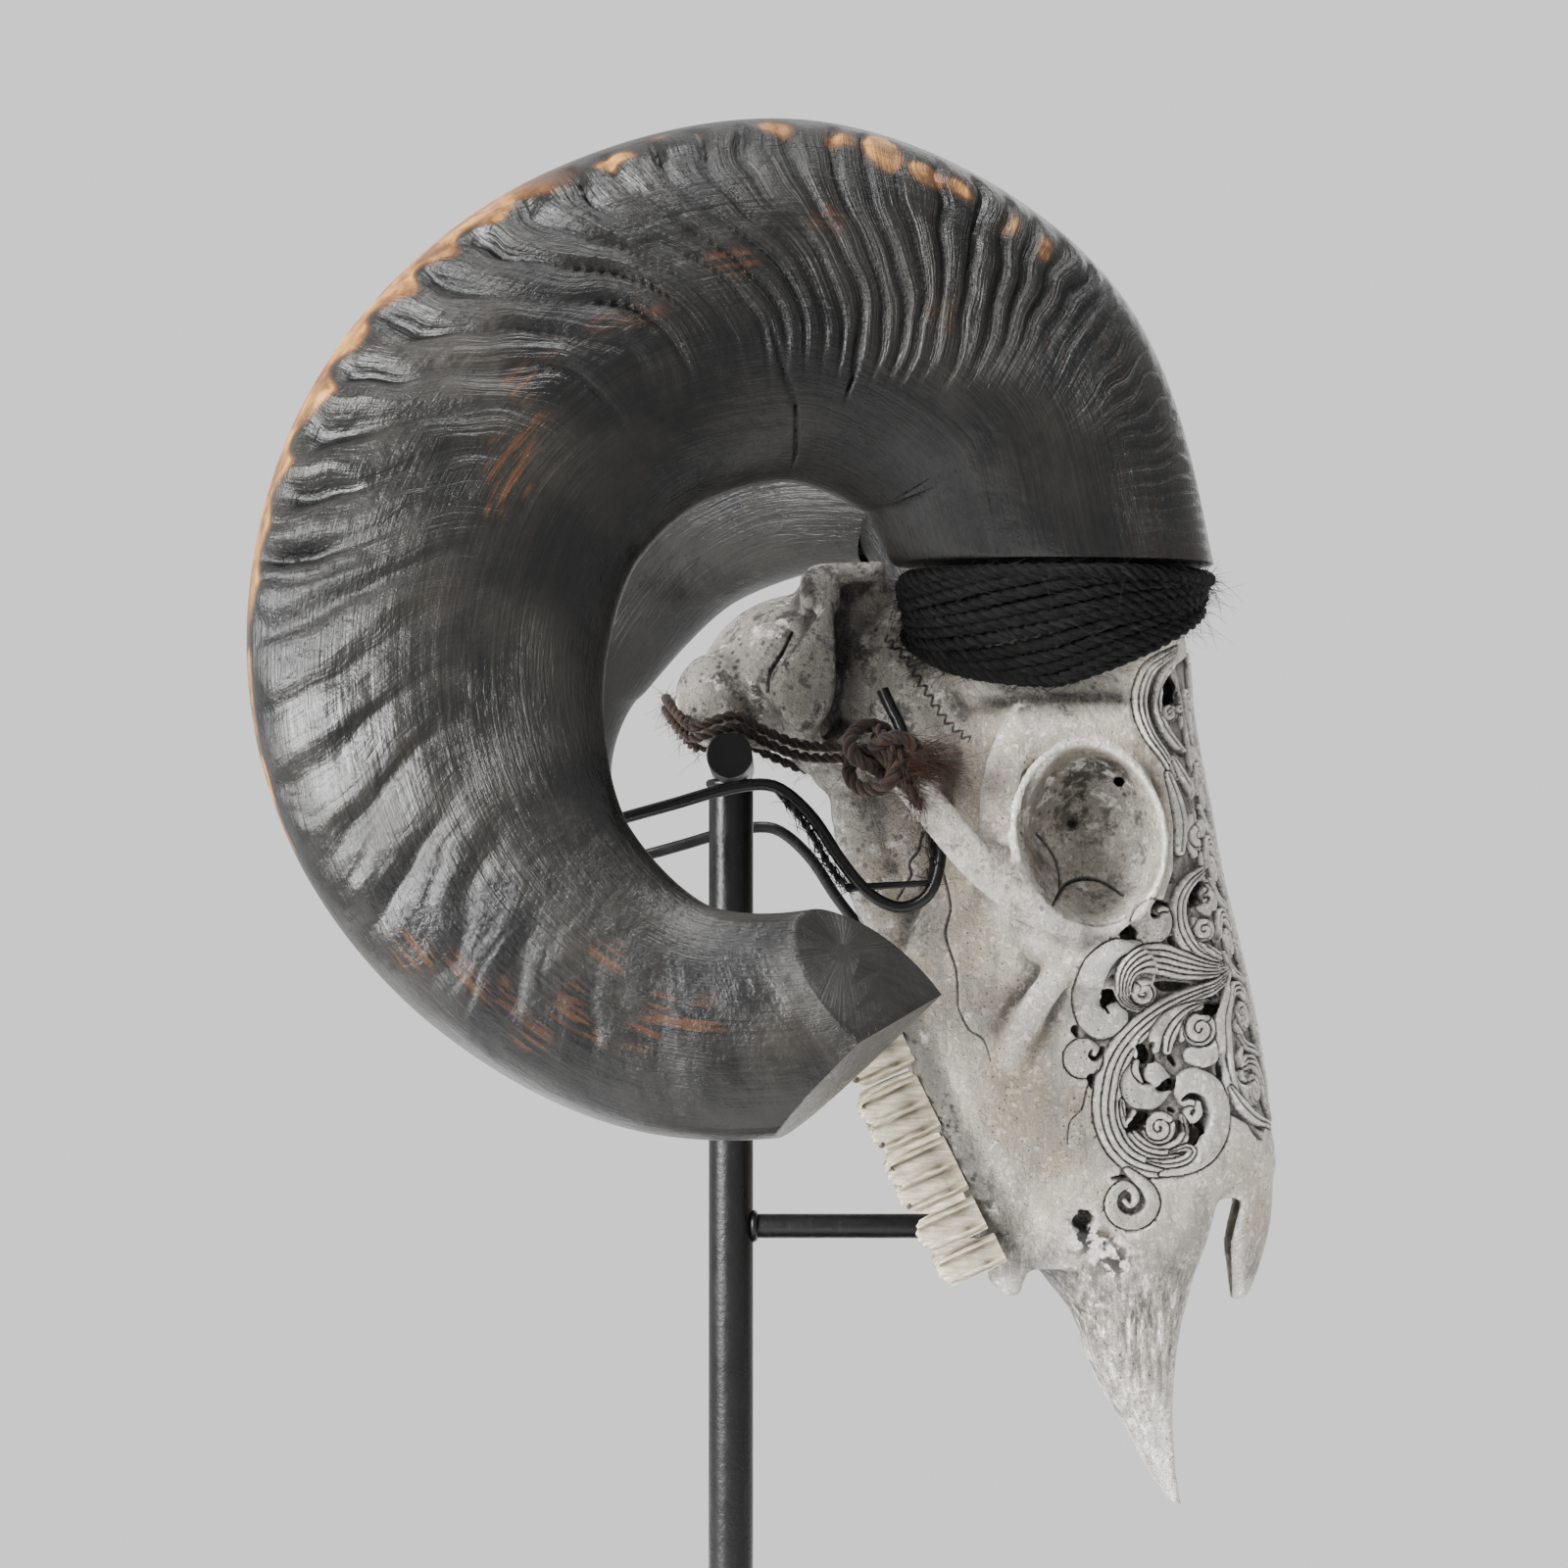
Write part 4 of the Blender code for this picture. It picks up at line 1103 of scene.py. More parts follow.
FACE_STROKES = [
    # Brow strip
    Stroke(
        ((125.6, 311.9), (120.2, 308.7), (115.6, 305.1), (113.6, 299.2), (113.8, 292.8), (116.1, 286.9),
         (120.2, 281.5), (123.6, 275.6)),
        (0.5, 1.3, 1.9, 2.2, 2.0, 1.7, 1.4, 0.9), ribs=2,
    ),
    Stroke(
        ((126.2, 310.1), (121.3, 305.5), (119.0, 300.1), (118.5, 294.7), (120.4, 289.2), (123.8, 284.9),
         (126.3, 283.0)),
        (0.4, 1.0, 1.2, 1.3, 1.3, 1.1, 0.5), ribs=1,
    ),
    Stroke(((126.2, 310.2), (124.5, 307.3), (124.9, 303.3), (125.8, 299.2)), (0.6, 1.7, 1.5, 0.6)),
    pierced(((121.8, 304.2), (121.3, 300.5), (121.6, 297.2)), (0.4, 1.6, 0.5)),
    *scroll((122.2, 293.6), 2.5, 1.2, 100),
    Stroke(((126.7, 299.2), (126.2, 294.7), (126.7, 289.7)), (0.6, 1.3, 0.5)),
    *scroll((125.6, 294.9), 1.5, 1.0, 60),
    pierced(((125.3, 283.0), (126.9, 282.1)), (0.6, 0.3)),
    Stroke(((122.7, 281.1), (125.6, 276.5), (128.3, 272.4), (130.3, 267.0)), (0.6, 1.3, 1.2, 0.6), ribs=1),
    Stroke(((121.3, 276.5), (123.8, 269.7), (125.3, 262.9), (124.9, 255.2)), (0.8, 1.7, 1.9, 1.2), ribs=1),
    Stroke(((129.2, 275.6), (131.8, 269.3), (132.9, 263.8)), (0.5, 1.2, 0.5)),
    pierced(((128.2, 272.4), (129.4, 269.3), (129.8, 266.5)), (0.3, 0.9, 0.4)),
    Stroke(((128.3, 265.2), (128.0, 259.3), (129.4, 254.3)), (0.6, 1.2, 0.8)),
    *scroll((131.2, 259.5), 3.7, 1.1, 110),
    pierced(((130.1, 263.1), (131.4, 261.1)), (0.7, 0.3)),
    Stroke(((126.9, 293.7), (128.2, 286.5), (129.4, 280.1), (131.4, 274.3)), (0.5, 1.3, 1.4, 0.6), ribs=1),
    Stroke(((132.5, 271.5), (133.8, 262.9), (135.0, 254.8)), (0.6, 1.5, 1.0)),
    # Upper ribbon, its buds and the leaf above them
    Stroke(((135.5, 245.6), (134.2, 249.6), (133.0, 254.0)), (2.2, 2.8, 2.0)),
    Stroke(
        ((139.9, 224.0), (134.0, 225.2), (129.2, 227.6), (125.9, 232.0), (124.5, 237.1), (125.0, 242.3),
         (127.8, 246.8), (132.2, 250.2)),
        (0.7, 1.6, 2.2, 2.4, 2.2, 2.0, 1.7, 1.0), ribs=2,
    ),
    Stroke(
        ((139.9, 225.2), (135.5, 226.8), (132.0, 229.4), (129.6, 232.7), (129.0, 236.4)),
        (0.5, 1.1, 1.3, 1.1, 0.6), ribs=1,
    ),
    Stroke(((136.6, 253.3), (138.1, 245.9), (139.2, 238.6), (139.9, 232.7)), (1.5, 2.2, 2.0, 0.8)),
    disc((134.2, 242.0), 4.6),
    pierced(
        ((127.8, 238.0), (128.9, 242.1), (130.5, 245.1), (132.8, 246.1)),
        (0.5, 1.3, 1.2, 0.4),
    ),
    Stroke(((132.5, 244.8), (131.4, 243.1), (132.0, 241.5), (133.0, 242.1)), (0.7, 0.8, 0.7, 0.3)),
    *scroll((132.0, 233.4), 3.3, 1.2, 80),
    Stroke(((136.1, 237.7), (137.1, 233.8), (139.3, 229.8)), (0.5, 1.5, 0.6), ribs=1),
    pierced(((134.8, 229.9), (137.3, 228.9), (139.5, 229.0)), (0.3, 1.0, 0.3)),
    # Bud below the eye socket
    disc((116.6, 235.5), 6.3),
    pierced(
        ((121.8, 240.1), (119.2, 240.4), (117.0, 239.2), (116.8, 237.4), (118.3, 237.1)),
        (0.5, 1.1, 0.8, 0.6, 0.3),
    ),
    Stroke(((121.2, 239.0), (119.9, 239.2), (118.6, 238.4)), (0.5, 0.7, 0.4)),
    pierced(((122.7, 230.5), (123.7, 228.9)), (0.9, 0.4)),
    pierced(((110.3, 233.0), (109.3, 231.8)), (0.7, 0.3)),
    # Large leaf curled like a C
    Stroke(
        ((113.1, 229.3), (106.1, 228.1), (100.8, 223.2), (98.7, 216.5), (99.5, 210.7), (102.6, 207.7),
         (105.9, 209.0)),
        (1.0, 2.6, 3.7, 3.9, 4.1, 4.5, 4.6),
    ),
    pierced(
        ((107.8, 220.2), (105.8, 218.9), (103.7, 215.9), (103.4, 213.0), (104.6, 210.4)),
        (0.9, 1.5, 0.9, 0.5, 0.25),
    ),
    pierced(((95.6, 205.7), (96.1, 204.0)), (1.2, 0.4)),
    # Ribbon that winds into a spiral
    Stroke(
        ((139.9, 222.4), (132.5, 222.4), (125.6, 223.6), (119.3, 225.2), (113.8, 225.1), (109.6, 222.4),
         (108.3, 218.0), (109.6, 213.9), (113.4, 212.1), (117.0, 213.6)),
        (0.9, 2.6, 4.0, 4.4, 3.7, 2.8, 2.2, 1.8, 1.5, 1.1), ribs=4,
    ),
    *scroll((114.6, 215.9), 3.7, 1.3, 150),
    pierced(
        ((118.4, 218.2), (120.8, 217.6), (125.2, 217.6), (128.0, 218.2)),
        (0.4, 1.4, 1.2, 0.25),
    ),
    # Stem from the fan down the left, and the arcs nested at the bottom
    Stroke(
        ((139.9, 221.7), (135.5, 218.0), (128.5, 215.2), (121.9, 212.1), (116.7, 208.6), (112.1, 204.5),
         (108.6, 200.0), (106.2, 195.1), (105.1, 190.1), (104.5, 184.9), (105.1, 179.8), (107.3, 174.6),
         (111.2, 170.5), (116.7, 168.3), (122.3, 168.0), (127.4, 169.8)),
        (0.8, 1.6, 2.2, 2.8, 3.1, 3.3, 3.6, 3.9, 4.1, 4.1, 4.0, 3.9, 3.8, 3.6, 3.0, 1.6), ribs=3,
    ),
    pierced(((106.6, 164.6), (110.9, 165.0), (109.9, 165.7)), (0.3, 0.5, 0.3)),
    # Leaf with three fingers, its spiral and its lobe
    Stroke(
        ((133.4, 213.6), (126.7, 211.8), (121.5, 209.0), (118.4, 204.8), (118.0, 200.5)),
        (0.4, 1.3, 1.8, 2.1, 1.3),
    ),
    Stroke(
        ((133.0, 213.0), (127.5, 210.7), (123.9, 207.0), (122.0, 203.3), (121.4, 199.8)),
        (0.4, 1.1, 1.6, 1.7, 1.0), ribs=1,
    ),
    Stroke(((132.5, 212.5), (129.0, 209.9), (126.5, 206.2), (125.5, 202.9)), (0.4, 1.1, 1.4, 0.7)),
    Stroke(
        ((137.1, 209.9), (137.3, 204.0), (135.8, 200.0), (132.0, 198.0), (128.5, 198.5)),
        (0.7, 1.7, 2.4, 2.9, 2.3),
    ),
    *scroll((130.8, 205.9), 4.8, 1.4, 60),
    pierced(((130.5, 210.4), (133.0, 211.2), (136.1, 213.0)), (0.4, 1.4, 0.3)),
    pierced(((122.7, 198.0), (124.0, 196.0)), (0.9, 0.5)),
    pierced(((113.4, 195.5), (115.1, 198.7), (117.3, 201.7)), (0.6, 1.6, 0.6)),
    # Round buds in the lower field
    disc((115.3, 190.4), 7.1),
    pierced(
        ((116.9, 197.8), (115.0, 196.8), (114.4, 194.0), (114.8, 191.5), (116.4, 190.7)),
        (1.1, 0.9, 0.7, 0.5, 0.25),
    ),
    Stroke(((112.8, 196.9), (112.4, 194.4), (113.4, 192.4), (114.4, 191.1)), (0.7, 1.0, 0.7, 0.3)),
    Stroke(
        ((119.6, 165.6), (126.9, 167.5), (132.0, 171.4), (134.9, 177.3), (135.1, 183.9), (132.8, 188.1),
         (129.1, 189.4)),
        (0.6, 2.0, 3.4, 4.2, 4.5, 5.2, 5.8),
    ),
    pierced(
        ((125.9, 186.3), (128.0, 187.3), (130.8, 186.3), (132.0, 183.1), (131.1, 179.4), (128.8, 176.6),
         (126.9, 175.0)),
        (0.4, 0.8, 1.1, 1.4, 1.8, 2.1, 1.0),
    ),
    Stroke(
        ((130.2, 185.2), (130.5, 182.6), (128.8, 180.7), (127.0, 181.7), (127.3, 183.4), (128.5, 183.9)),
        (0.8, 1.0, 1.1, 1.0, 0.8, 0.4),
    ),
    Stroke(
        ((125.6, 181.5), (126.7, 177.5), (124.7, 174.0), (120.4, 172.5), (115.3, 173.6), (111.2, 177.3),
         (109.2, 182.0), (108.5, 186.0)),
        (0.5, 1.3, 1.5, 1.5, 1.4, 1.3, 1.1, 0.6), ribs=1,
    ),
    *scroll((119.2, 178.5), 4.7, 1.5, 40),
    pierced(((110.3, 183.7), (111.1, 180.7), (112.8, 178.1)), (0.6, 1.1, 0.4)),
    Stroke(((112.1, 183.0), (111.6, 181.5), (112.8, 180.7)), (0.6, 0.6, 0.3)),
    pierced(((122.5, 183.5), (123.7, 183.0)), (0.6, 0.4)),
    Stroke(
        ((122.4, 171.8), (126.7, 173.0), (128.5, 171.8), (126.2, 169.5), (121.1, 168.5), (116.0, 169.4)),
        (0.4, 1.0, 1.1, 1.3, 1.2, 0.5), ribs=1,
    ),
    # Bud at the far left and the end scroll
    disc((97.8, 197.8), 5.5),
    pierced(
        ((103.4, 200.2), (101.4, 197.7), (99.6, 198.5), (99.9, 200.1)),
        (0.8, 0.6, 0.45, 0.25),
    ),
    pierced(((100.2, 192.3), (100.3, 190.1)), (1.2, 0.5)),
    Stroke(
        ((110.2, 166.8), (113.5, 164.1), (116.4, 161.0), (117.5, 157.4), (115.6, 153.8), (111.8, 152.2),
         (107.7, 153.5), (105.8, 156.9), (106.6, 160.5), (109.3, 162.5), (111.8, 161.2), (112.7, 158.6),
         (111.1, 156.9), (109.5, 158.2)),
        (0.9, 1.5, 1.9, 2.0, 2.1, 2.1, 2.0, 1.8, 1.5, 1.3, 1.1, 1.0, 0.8, 0.5),
    ),
    # Fringe beside the nose
    Stroke(
        ((140.0, 220.9), (139.2, 215.1), (137.7, 209.2), (137.8, 203.3), (138.6, 196.0), (140.0, 189.3),
         (143.2, 184.6), (148.1, 182.0)),
        (0.7, 1.7, 2.2, 2.2, 2.0, 1.8, 1.7, 1.2), ribs=1,
    ),
    Stroke(
        ((140.8, 222.4), (143.3, 216.5), (145.2, 211.4), (147.4, 205.9), (149.0, 200.0), (149.7, 193.7)),
        (0.5, 1.3, 1.6, 1.5, 1.2, 0.8), ribs=1,
    ),
    *scroll((143.7, 206.6), 2.8, 1.2, 120),
    pierced(((142.7, 211.4), (143.4, 209.8)), (0.9, 0.5)),
    Stroke(((143.7, 200.7), (143.0, 196.7), (144.6, 191.8), (147.7, 187.5)), (0.6, 1.6, 2.9, 3.4)),
    Stroke(((146.5, 204.0), (148.4, 197.4), (150.0, 190.1), (151.1, 184.2)), (0.5, 1.5, 1.6, 1.0)),
    pierced(((141.1, 198.2), (141.7, 195.5), (143.1, 193.5)), (0.3, 0.9, 0.4)),
    *scroll((144.6, 192.9), 2.4, 1.1, 150),
    Stroke(((139.5, 189.5), (143.0, 184.6), (147.3, 180.8), (152.0, 178.6)), (0.7, 1.8, 1.6, 0.7), ribs=1),
    pierced(((145.2, 179.2), (147.3, 176.9), (149.2, 174.7)), (0.3, 0.8, 0.3)),
]

# The sunk ground of the carving on each side of the face, as x and z.
FACE_FIELD = (
    (126, 313), (120, 309.5), (115, 305.5), (112.2, 299), (112.4, 292), (115, 286), (119.5, 280.5),
    (120.5, 274), (122.5, 262), (122.3, 250), (119.5, 241.5), (110.5, 239.5), (109, 231), (100, 227),
    (95.5, 220), (94.5, 212), (96, 205), (94.5, 200), (93, 195), (96.5, 192.5), (100.5, 191), (100.7, 182),
    (103, 174), (108, 168), (106, 160), (107.5, 153.5), (114, 153.5), (117, 160), (118, 165), (128, 166),
    (136, 173), (140, 181), (150, 176), (154, 180), (150, 200), (146, 225), (141.5, 250), (138.5, 265),
    (134, 282), (130, 300),
)

# The front of the nose, as distance from the midline and z: its sunk ground, and its rows of leaves.
FRONT_FIELD = ((0, 178), (17, 178), (22, 186), (24, 230), (24, 290), (20, 308), (0, 312))
FRONT_ROWS = 6
FRONT_FIRST = 189
FRONT_STEP = 20.5


def front_strokes() -> list[Stroke]:
    """Draws a ribbed band down the middle of the nose with like leaves and scrolls beside it.

    Returns:
        Its strokes.
    """
    strokes = [Stroke(((0, 311), (0, 245), (0, 180)), (1.6, 2.4, 2.6, 1.8, 0.8), ribs=2)]
    for row in range(FRONT_ROWS):
        level = FRONT_FIRST + FRONT_STEP * row
        leaf = ((2.6, level - 9), (5, level), (10, level + 7), (17, level + 7), (21, level + 1))
        stem = ((3, level - 11), (8, level - 9.5), (14, level - 8), (19, level - 3))
        strokes += [
            Stroke(leaf, (0.6, 1.6, 2.2, 1.8, 1), ribs=2),
            Stroke(stem, (0.5, 1.2, 1.5, 0.8), ribs=1),
            *scroll((11.6, level), 4.3, 1.3, 120),
            *bulb((19.8, level - 8.6), 3.1, 60),
        ]
    return strokes


FRONT_STROKES = front_strokes()
SUTURE = ((43.2, 315.2), (49.4, 308.4), (54.6, 300), (60.4, 291.8), (66.8, 286.2))
SUTURE_TEETH = 13


def suture_stroke() -> Stroke:
    """Draws the zigzag seam between the bones of the braincase.

    Returns:
        The seam as one groove.
    """
    points = []
    for k, (x, z) in enumerate(between(SUTURE, 2 * SUTURE_TEETH)):
        sway = (0.9 + 0.5 * math.sin(3.1 * k)) * (-1) ** k
        points.append((x + sway * 0.75, z + sway * 0.66))
    return groove(tuple(points), (0.2, 0.28, 0.2), 0.6)


CRACKS = [
    # Hole below the orbit
    hole(98, 152.4, 4.6, 3.9, 20),
    # Inside the orbit
    groove(((85, 260), (89.5, 255), (91.5, 249), (91, 242)), (0.3, 0.4, 0.2), 0.8),
    groove(((89, 240), (94, 246.5), (102, 247.5), (109, 243)), (0.3, 0.5, 0.3), 1.0),
    # Cheek, arch, occiput and jaw
    groove(((101.6, 194.6), (99, 190), (97.4, 184), (94, 180), (93.4, 174)), (0.3, 0.25, 0.1), 0.6),
    groove(
        ((53.6, 260.7), (52.8, 256), (50.2, 252.4), (50.6, 249), (49.5, 246.8), (46.7, 242)),
        (0.3, 0.3, 0.2), 0.7,
    ),
    groove(((17.4, 316.8), (14.6, 311), (11, 305), (10.4, 300)), (0.3, 0.5, 0.3), 1.0),
    groove(((59, 250), (61, 240), (59.6, 232), (62.5, 222), (63, 212)), (0.25, 0.4, 0.2), 0.6),
    groove(((63, 212), (66, 206), (70, 203), (72, 197)), (0.2, 0.3, 0.1), 0.5),
    suture_stroke(),
]


def outlines(sections: Sequence[Sequence], count: int) -> list[tuple[float, list[Spot]]]:
    """Reads the face's half outlines at even steps.

    Args:
        sections: the heights with their outlines.
        count: how many to read.

    Returns:
        Each height with the points of its outline.
    """
    rows = [[height, *(value for point in points for value in point)] for height, *points in sections]
    return [(row[0], [(row[i], row[i + 1]) for i in range(1, len(row), 2)]) for row in between(rows, count)]


def mirrored(half: list[Place]) -> list[Place]:
    """Closes a half outline with its mirror image."""
    return half + [(x, -y, z) for x, y, z in half[-2:0:-1]]


@dataclass
class Skull:
    """The bone with its carving, as one piece."""

    voxel: float = 1.35
    fine_voxel: float = 1.15
    jaw_wall: float = 4
    jaw_opening: float = 4
    cavity_wall: float = 6.5
    nasal_thickness: float = 3.2
    jaw_slit: Place = (116, 0, 88)
    jaw_slit_size: Place = (50, 5.5, 50)
    magnum: Place = (-9, 0, 303)
    magnum_radii: Place = (16, 8, 8.5)
    magnum_lean: float = 30
    orbit: Place = (98.5, 50, 259)
    orbit_radii: Place = (20, 30, 25)
    orbit_lean: float = -9
    orbit_flare: float = 8
    most_triangles: int = 194000

    def add_face(self, mesh: Mesh) -> None:
        """Adds the brow, nose and upper jaw as one skin.

        Args:
            mesh: the mesh that it is added to.
        """
        loft(mesh, [
            mirrored([(x, max(y, 0), height) for x, y in between(keys, 25)])
            for height, keys in outlines(FACE_SECTIONS, 70)
        ])

    def jaw_rings(self, inset: float) -> list[list[Place]]:
        """Gives rings of the jaw's front part, drawn in by a wall.

        Args:
            inset: the wall's thickness.

        Returns:
            The rings from top to tip.
        """
        rings = []
        for z, back, edge, width in between(JAW_SECTIONS, 44):
            front = edge + self.jaw_opening
            middle, reach = (back + front) / 2, (front - back) / 2 - inset
            ring = []
            for angle in angles(48):
                c, s = math.cos(angle), math.sin(angle)
                x = middle + max(reach, 0.6) * math.copysign(abs(c) ** 0.8, c)
                ring.append((x, max(width - inset, 0.6) * math.copysign(abs(s) ** 0.7, s), z))
            rings.append(ring)
        return rings

    def add_nasals(self, mesh: Mesh) -> None:
        """Adds the free end of the nasal bones, which runs out in a point.

        Args:
            mesh: the mesh that it is added to.
        """
        rings = []
        for z, front, width, droop in between(NASAL_SECTIONS, 30):
            spread = [k / 9 - 1 for k in range(19)]
            outer = [(front - droop * abs(t) ** 1.8, width * t, z) for t in spread]
            thin = min(self.nasal_thickness, width * 0.8)
            inner = [(x - thin, y * (1 - thin / width * 0.8), z) for x, y, z in outer]
            rings.append(outer + inner[::-1])
        loft(mesh, rings)

    def add_bar(self, mesh: Mesh, path: Sequence[Row], flat: float, wide: float, upright: Row) -> None:
        """Adds a bar of bone along a path.

        Args:
            mesh: the mesh that the bar is added to.
            path: the points that it passes through.
            flat: its half size across the upright direction.
            wide: its half size along the upright direction.
            upright: the direction that its wide side keeps to.
        """
        points = [Vector(p) for p in between(path, 6 * len(path))]
        rings = []
        for i, point in enumerate(points):
            along = (points[min(i + 1, len(points) - 1)] - points[max(i - 1, 0)]).normalized()
            across = along.cross(Vector(upright)).normalized()
            up = across.cross(along)
            rings.append([point + across * flat * math.cos(a) + up * wide * math.sin(a) for a in angles(16)])
        loft(mesh, rings)

    def add_orbit_rim(self, mesh: Mesh, side: int, radius: float = 1.9) -> None:
        """Adds the raised rim of an eye socket, which flares out towards the rear.

        Args:
            mesh: the mesh that the rim is added to.
            side: -1 for the right, 1 for the left.
            radius: the rim's half thickness.
        """
        x, y, z = self.orbit
        long, _, high = self.orbit_radii
        lean = Matrix.Rotation(math.radians(self.orbit_lean), 3, "Y")
        rings = []
        for a in angles(48):
            grow = 0.9 - 0.5 * math.sin(a)
            flat = lean @ Vector(((long + grow) * math.cos(a), 0, (high + grow) * math.sin(a)))
            middle = Vector((x, -y - 1, z)) + flat + Vector((0, self.orbit_flare * math.cos(a), 0))
            out = flat.normalized()
            rings.append([
                middle + out * radius * math.cos(b) + Vector((0, radius * math.sin(b), 0))
                for b in angles(12)
            ])
        places = np.array(rings, dtype=float) * MM
        places[..., 1] *= -side
        wrap_grid(mesh, np.concatenate((places, places[:1])), closed=False)

    def add_side_bones(self, mesh: Mesh, s: int) -> None:
        """Adds the bones that lie once on each side.

        Args:
            mesh: the mesh that they are added to.
            s: -1 for the right, 1 for the left.
        """
        for (x, y, z), radii, turn in SIDE_BALLS.values():
            add_ball(mesh, (x, y * s, z), radii, turn)
        for path, flat, wide, upright in SIDE_BARS.values():
            self.add_bar(mesh, [(x, y * s, z) for x, y, z in path], flat, wide, upright)
        self.add_orbit_rim(mesh, s)
        self.add_mastoid(mesh, s)
        loft(mesh, [
            [(x + long * math.cos(a), (y + wide * math.sin(a)) * s, z) for a in angles(48)]
            for z, x, y, long, wide in between(BOSS_SECTIONS, 16)
        ])

    def add_mastoid(self, mesh: Mesh, s: int) -> None:
        """Adds the flat rough plate below the end of the crest.

        Args:
            mesh: the mesh that it is added to.
            s: -1 for the right, 1 for the left.
        """
        corners = [
            (28.5, 326), (19.5, 314), (11, 302), (14, 292), (18, 287), (24, 289), (29, 297), (29.5, 311),
        ]
        middle = (22, 304)
        rings = []
        for y, share in ((20, 0.9), (32, 0.98), (35.5, 0.96), (36.8, 0.86)):
            rings.append([
                (middle[0] + (x - middle[0]) * share, y * s, middle[1] + (z - middle[1]) * share)
                for x, z in between([*corners, corners[0]], 33)[:-1]
            ])
        loft(mesh, rings)

    def add_forms(self, mesh: Mesh) -> None:
        """Adds all the bone as overlapping closed shapes.

        Args:
            mesh: the mesh that they are added to.
        """
        self.add_face(mesh)
        loft(mesh, self.jaw_rings(0))
        self.add_nasals(mesh)
        add_ball(mesh, (57, 0, 300), (33, 34, 36), (0, 15, 0), 4)
        add_ball(mesh, (14, 0, 307), (25, 27, 20), (0, -35, 0), 4)
        crest = (((33, 0, 333.4), (21, 56, 5.4)), ((25, 0, 328), (11, 60, 11)), ((36, 0, 322), (14, 42, 20)))
        for centre, size in crest:
            add_box(mesh, centre, size, -2)
        self.add_bar(mesh, [(-4, 0, 294), (14, 0, 292), (36, 0, 286), (62, 0, 262)], 13, 8, (1, 0, 1))
        for side in Side:
            self.add_side_bones(mesh, side.value)

    def add_passage(self, mesh: Mesh) -> None:
        """Adds the nasal passage's space, open at the front and behind the palate.

        Args:
            mesh: the mesh that it is added to.
        """
        rings = []
        for height, keys in outlines(FACE_SECTIONS[6:-2], 24):
            back, front = keys[0][0] + 12, keys[-1][0] - self.nasal_thickness - 1
            spread = (front - back) / (keys[-1][0] - keys[2][0])
            half = [
                (max(back, front - (keys[-1][0] - x) * spread), max(y - self.cavity_wall, 0) * 0.9, height)
                for x, y in between(keys, 16)
            ]
            rings.append(mirrored(half))
        rings.append([(x - 5, y, z - 12) for x, y, z in rings[-1]])
        loft(mesh, rings)

    def cutters(self) -> list[bpy.types.Object]:
        """Makes the shapes that are taken out of the fused bone.

        Returns:
            One object for each group of cuts.
        """
        orbits, pits = bmesh.new(), bmesh.new()
        x, y, z = self.orbit
        for side in Side:
            s = side.value
            add_ball(orbits, (x + 1, (y + 4) * s, z), self.orbit_radii, (0, self.orbit_lean, 9 * s), 5)
            for px, pz, long, wide, turn in CARVED_PITS:
                across = Matrix.Rotation(math.radians(-turn), 4, "Y")
                across @= Matrix.Diagonal((long * MM * 0.8, 1, wide * MM * 0.8, 1))
                place = Matrix.Translation(Vector((px, 34 * s, pz)) * MM) @ across
                upright = Matrix.Rotation(math.pi / 2, 4, "X")
                bmesh.ops.create_cone(
                    pits, cap_ends=True, segments=20, radius1=1, radius2=1, depth=0.024,
                    matrix=place @ upright,
                )
        front = bmesh.new()
        rows = [(z - 1.5, edge, 35) for z, _, edge, _ in JAW_SECTIONS[1:]]
        deep = self.jaw_opening + 3
        loft(front, [[(x, -y, z), (x + deep, -y, z), (x + deep, y, z), (x, y, z)] for z, x, y in rows])
        floor, passage = bmesh.new(), bmesh.new()
        loft(floor, self.jaw_rings(self.jaw_wall))
        self.add_passage(passage)
        slit = bmesh.new()
        add_box(slit, self.jaw_slit, self.jaw_slit_size)
        magnum = bmesh.new()
        add_ball(magnum, self.magnum, self.magnum_radii, (0, self.magnum_lean, 0), 4)
        for side in Side:
            s = side.value
            recess = [(31, 34 * s, 324), (32, 34 * s, 314), (31.5, 34 * s, 303)]
            self.add_bar(magnum, recess, 1.3, 6, (0, 1, 0))
            for x, z, size in ORBIT_HOLES:
                add_ball(magnum, (x, 26 * s, z), (size, 10, size))
        named = {"orbits": orbits, "pits": pits, "front": front, "floor": floor, "passage": passage}
        named |= {"slit": slit, "magnum": magnum}
        return [make_object("tool_" + name, mesh) for name, mesh in named.items()]

    def fuse(self) -> bpy.types.Object:
        """Fuses the forms, cuts them and fuses them again finer.

        Returns:
            The bone as an object with a plain mesh.
        """
        forms = bmesh.new()
        self.add_forms(forms)
        bone = make_object("skull_bone", forms)
        first = bone.modifiers.new("fuse", "REMESH")
        first.mode, first.voxel_size = "VOXEL", self.voxel * MM
        ease = bone.modifiers.new("ease", "SMOOTH")
        ease.iterations, ease.factor = 8, 0.5
        tools = self.cutters()
        for tool in tools:
            step = bone.modifiers.new(tool.name, "BOOLEAN")
            step.operation, step.solver, step.object = "DIFFERENCE", "EXACT", tool
        second = bone.modifiers.new("fuse_again", "REMESH")
        second.mode, second.voxel_size = "VOXEL", self.fine_voxel * MM
        soften = bone.modifiers.new("soften", "SMOOTH")
        soften.iterations, soften.factor = 2, 0.5
        worked(bone)
        for tool in tools:
            bpy.data.objects.remove(tool)
        return bone

